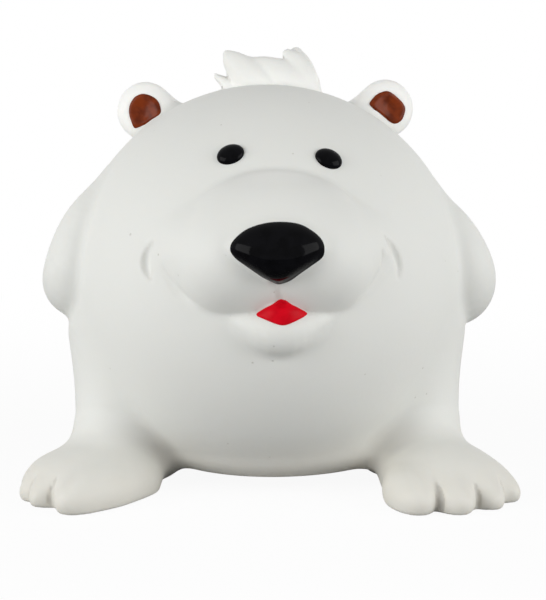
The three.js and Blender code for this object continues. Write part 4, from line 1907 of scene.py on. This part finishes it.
@dataclass(frozen=True)
class BrushedPaint(Finish):
    """Glossy paint laid on by brush.

    Attributes:
        name: The material's name.
        tone: The paint's colour.
        deep: Its colour where it lies thicker.
        roughness: How dull its gloss is.
        gloss: How strongly it mirrors.
        unevenness: How high its brushed waves are, in millimetres.
        wave_size: How far apart the waves are, in millimetres.
        grain_size: How far apart its grain is, in millimetres.
        deep_range: Between which heights of a wave the deeper colour starts.
    """

    name: str
    tone: Place
    deep: Place
    roughness: float
    gloss: float
    unevenness: float = 0.02
    wave_size: float = 2.4
    grain_size: float = 0.5
    deep_range: Place = (0.35, 0.7)

    def material(self) -> bpy.types.Material:
        """Mixes the paint.

        Returns:
            Its material.
        """
        shader = Shader(self.name)
        waves = shader.noise(self.wave_size)
        grain = shader.noise(self.grain_size)
        shader.wear("Base Color", shader.mix(waves.rise(*self.deep_range), self.tone, self.deep))
        shader.wear("Roughness", self.roughness + (grain - 0.5) * 0.08)
        shader.wear("Specular IOR Level", self.gloss)
        shader.wear("Normal", shader.bump(waves * 0.8 + grain * 0.2, self.unevenness))
        return shader.material


@dataclass(frozen=True)
class MouldedPlastic(Finish):
    """Plain moulded plastic with a fine sparked grain.

    Attributes:
        name: The material's name.
        tone: The plastic's colour.
        roughness: How dull it is.
        relief: How high its grain is, in millimetres.
        grain: Its grain's size in millimetres, its finer layers and their strength.
        cloud_size: How far apart its faint clouds are, in millimetres.
        cloud_range: Between which strengths of a cloud its duller colour starts.
        dull_share: How light the duller colour is beside the plastic's own.
    """

    name: str
    tone: Place
    roughness: float
    relief: float = 0.012
    grain: Place = (0.35, 3, 0.6)
    cloud_size: float = 5.0
    cloud_range: Place = (0.35, 0.65)
    dull_share: float = 0.92

    def material(self) -> bpy.types.Material:
        """Mixes the plastic.

        Returns:
            Its material.
        """
        shader = Shader(self.name)
        grain = shader.noise(*self.grain)
        clouds = shader.noise(self.cloud_size)
        dull = tuple(v * self.dull_share for v in self.tone)
        shader.wear("Base Color", shader.mix(clouds.rise(*self.cloud_range), self.tone, dull))
        shader.wear("Roughness", self.roughness + (grain - 0.5) * 0.14)
        shader.wear("Normal", shader.bump(grain, self.relief))
        return shader.material


BLACK_PAINT = BrushedPaint(
    "black_paint", tone=(0.003, 0.003, 0.004), deep=(0.0015, 0.0015, 0.002), roughness=0.1, gloss=0.045)
RED_PAINT = BrushedPaint(
    "red_paint", tone=(0.66, 0.002, 0.012), deep=(0.56, 0.001, 0.009), roughness=0.35, gloss=0.06)
BROWN_PAINT = BrushedPaint(
    "brown_paint", tone=(0.2, 0.032, 0.006), deep=(0.11, 0.016, 0.003), roughness=0.2, gloss=0.1)
SQUEAKER_PLASTIC = MouldedPlastic("squeaker_plastic", tone=(0.8, 0.8, 0.77), roughness=0.42)
REED_FILM = MouldedPlastic("reed_film", tone=(0.68, 0.72, 0.73), roughness=0.22)


# Studio


@dataclass
class Studio:
    """A pale floor, two large soft lamps in front, and the camera at the photo's angle.

    Attributes:
        aim: The middle of the ball body in the frame, in millimetres.
        azimuth: Degrees of the camera from the bear's front towards its left.
        elevation: Degrees of the camera above the level.
        distance: How far off the camera is, in millimetres.
        frame_height: How much the frame takes in at the ball's middle, in millimetres.
        sensor: The camera's sensor height, in millimetres.
        across: How far to the right of the ball's middle the camera aims, in millimetres.
        rise: How far above it, in millimetres.
        near: What lies nearer than this to the camera isn't seen, in metres.
        lamps: Each lamp's name, azimuth, elevation and watts.
        lamp_distance: How far off the lamps are, in metres.
        lamp_size: Their width and height, in metres.
        ambient: How strongly the world lights the toy.
        floor_half: Half the floor's width, in metres.
        floor_tone: The floor's colour to the camera.
        floor_bounce: Its colour to all other rays.
        floor_white: How much of plain white it has under the toy.
        floor_fade: Between which distances it runs out into plain white, in millimetres.
    """

    aim: Array
    azimuth: float = -3.0
    elevation: float = 10.0
    distance: float = 600.0
    frame_height: float = 144.0
    sensor: float = 36.0
    across: float = 1.44
    rise: float = -4.56
    near: float = 0.01
    lamps: Sequence[tuple[str, float, float, float]] = (
        ("right_softbox", -63, 14, 7.3),
        ("left_softbox", 63, 14, 6.5),
    )
    lamp_distance: float = 1.0
    lamp_size: tuple[float, float] = (0.8, 0.7)
    ambient: float = 0.38
    floor_half: float = 3.0
    floor_tone: float = 0.94
    floor_bounce: float = 0.52
    floor_white: float = 0.93
    floor_fade: Place = (60, 260)

    def hang(self, data: bpy.types.ID, place: Array, way: Array) -> bpy.types.Object:
        """Puts a camera or a lamp in the scene.

        Args:
            data: The camera or the lamp.
            place: Where it is, in metres.
            way: The direction that it looks against.

        Returns:
            Its object.
        """
        thing = bpy.data.objects.new(data.name, data)
        thing.location = Vector(place.tolist())
        thing.rotation_euler = Vector(-way).to_track_quat("-Z", "Y").to_euler()
        bpy.context.scene.collection.objects.link(thing)
        return thing

    def camera(self) -> None:
        """Sets up the camera."""
        lens = bpy.data.cameras.new("camera")
        lens.sensor_fit = "VERTICAL"
        lens.sensor_height = self.sensor
        lens.lens = self.sensor * self.distance / self.frame_height
        lens.clip_start = self.near
        way = heading(self.azimuth, self.elevation)
        turn = facing(way)
        target = self.aim + turn[:, 0] * self.across + turn[:, 1] * self.rise
        bpy.context.scene.camera = self.hang(lens, (target + way * self.distance) * MM, way)

    def lamp(self, name: str, azimuth: float, elevation: float, watts: float) -> None:
        """Hangs a wide soft lamp that looks at the toy.

        Args:
            name: The lamp's name.
            azimuth: Degrees from the bear's front towards its left.
            elevation: Degrees above the level.
            watts: Its power.
        """
        light = bpy.data.lights.new(name, "AREA")
        light.shape = "RECTANGLE"
        light.size, light.size_y = self.lamp_size
        light.energy = watts
        way = heading(azimuth, elevation)
        self.hang(light, self.aim * MM + way * self.lamp_distance, way)

    def seen(self, tree: bpy.types.NodeTree, *rays: str) -> bpy.types.NodeSocket:
        """Tells some kinds of ray from all others.

        Args:
            tree: The node tree that the question is asked in.
            rays: The kinds of ray.

        Returns:
            A socket that is one for those kinds, and zero for all others.
        """
        path = tree.nodes.new("ShaderNodeLightPath")
        total = path.outputs[rays[0]]
        for ray in rays[1:]:
            either = tree.nodes.new("ShaderNodeMath")
            either.operation = "MAXIMUM"
            tree.links.new(total, either.inputs[0])
            tree.links.new(path.outputs[ray], either.inputs[1])
            total = either.outputs[0]
        return total

    def world(self) -> None:
        """Makes the world white to the camera and in reflections, and soft light to all else."""
        world = bpy.data.worlds.new("studio")
        world.use_nodes = True
        tree = world.node_tree
        tree.nodes.clear()
        mix = tree.nodes.new("ShaderNodeMixShader")
        out = tree.nodes.new("ShaderNodeOutputWorld")
        seen = self.seen(tree, "Is Camera Ray", "Is Glossy Ray", "Is Transmission Ray")
        tree.links.new(seen, mix.inputs[0])
        for socket, strength in ((1, self.ambient), (2, 1.0)):
            sky = tree.nodes.new("ShaderNodeBackground")
            sky.inputs["Color"].default_value = (1, 1, 1, 1)
            sky.inputs["Strength"].default_value = strength
            tree.links.new(sky.outputs[0], mix.inputs[socket])
        tree.links.new(mix.outputs[0], out.inputs["Surface"])
        bpy.context.scene.world = world

    def floor(self) -> None:
        """Lays a pale floor that keeps the toy's shadow and runs out into the white."""
        half = self.floor_half
        mesh = bpy.data.meshes.new("floor")
        places = [(-half, -half, 0), (half, -half, 0), (half, half, 0), (-half, half, 0)]
        mesh.from_pydata(places, [], [(0, 1, 2, 3)])
        floor = bpy.data.objects.new("floor", mesh)
        bpy.context.scene.collection.objects.link(floor)
        shader = Shader("floor")
        tree = shader.tree
        camera = Wire(shader, self.seen(tree, "Is Camera Ray"))
        shader.wear("Base Color", shader.mix(camera, (self.floor_bounce,) * 3, (self.floor_tone,) * 3))
        shader.wear("Roughness", 0.9)
        shader.wear("Specular IOR Level", 0.0)
        white = tree.nodes.new("ShaderNodeEmission")
        blend = tree.nodes.new("ShaderNodeMixShader")
        far = shader.node("ShaderNodeVectorMath", {"operation": "LENGTH"}, {0: shader.place}, "Value")
        share = camera * (self.floor_white + far.rise(*self.floor_fade) * (1 - self.floor_white))
        tree.links.new(share.source, blend.inputs[0])
        tree.links.new(shader.surface.outputs[0], blend.inputs[1])
        tree.links.new(white.outputs[0], blend.inputs[2])
        tree.links.new(blend.outputs[0], tree.nodes["Material Output"].inputs["Surface"])
        mesh.materials.append(shader.material)

    def build(self) -> None:
        """Sets up everything round the toy."""
        self.camera()
        self.world()
        self.floor()
        for lamp in self.lamps:
            self.lamp(*lamp)
        bpy.context.scene.view_settings.view_transform = "Standard"


def corners(bounds: tuple) -> list[list[float]]:
    """Returns a box's two corners as plain lists."""
    return [[float(v) for v in corner] for corner in bounds]


def dress(nodes: dict[str, bpy.types.Object], finishes: dict[str, bpy.types.Material]) -> None:
    """Gives carried-over CAD nodes their materials.

    Args:
        nodes: The frame's nodes.
        finishes: The material of each node that is dressed, by name.
    """
    for name, material in finishes.items():
        nodes[name].data.materials.clear()
        nodes[name].data.materials.append(material)
        log.info("%s: dressed", name)


def main() -> None:
    """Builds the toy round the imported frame."""
    logging.basicConfig(level=logging.INFO, format="%(name)s: %(message)s")
    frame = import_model()
    skin = LatexSkin(BearShape())
    low, high = (np.array(corner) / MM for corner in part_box("squeaker_housing"))
    across, back, _ = (low + high) / 2
    shift = np.array([across, back - skin.squeaker_offset, 0])
    bench = Workbench(shift)
    middle = skin.shape.middle + shift

    Studio(middle).build()

    latex = Latex(tuple(middle)).material()
    black = BLACK_PAINT.material()
    red = RED_PAINT.material()
    brown = BROWN_PAINT.material()
    plastic = SQUEAKER_PLASTIC.material()
    film = REED_FILM.material()

    skin.build(bench, latex, FINE_CELL)
    face = Face(skin.shape)
    bed = skin.shape.bear
    face.nose().build(bench, bed, black)
    face.tongue().build(bench, bed, red)
    for side, angles in face.eye_headings:
        face.eye(side, angles).build(bench, bed, black)
    for side in SIDES:
        face.ear(side).build(bench, bed, brown)
    seat = np.array([0, skin.squeaker_offset, skin.shape.seat_height])
    Squeaker(skin).build(bench, plastic, seat)
    dress(frame["nodes"], {"reed_seat": plastic, "reed_wedge": plastic, "reed": film})


if __name__ == "__main__":
    main()
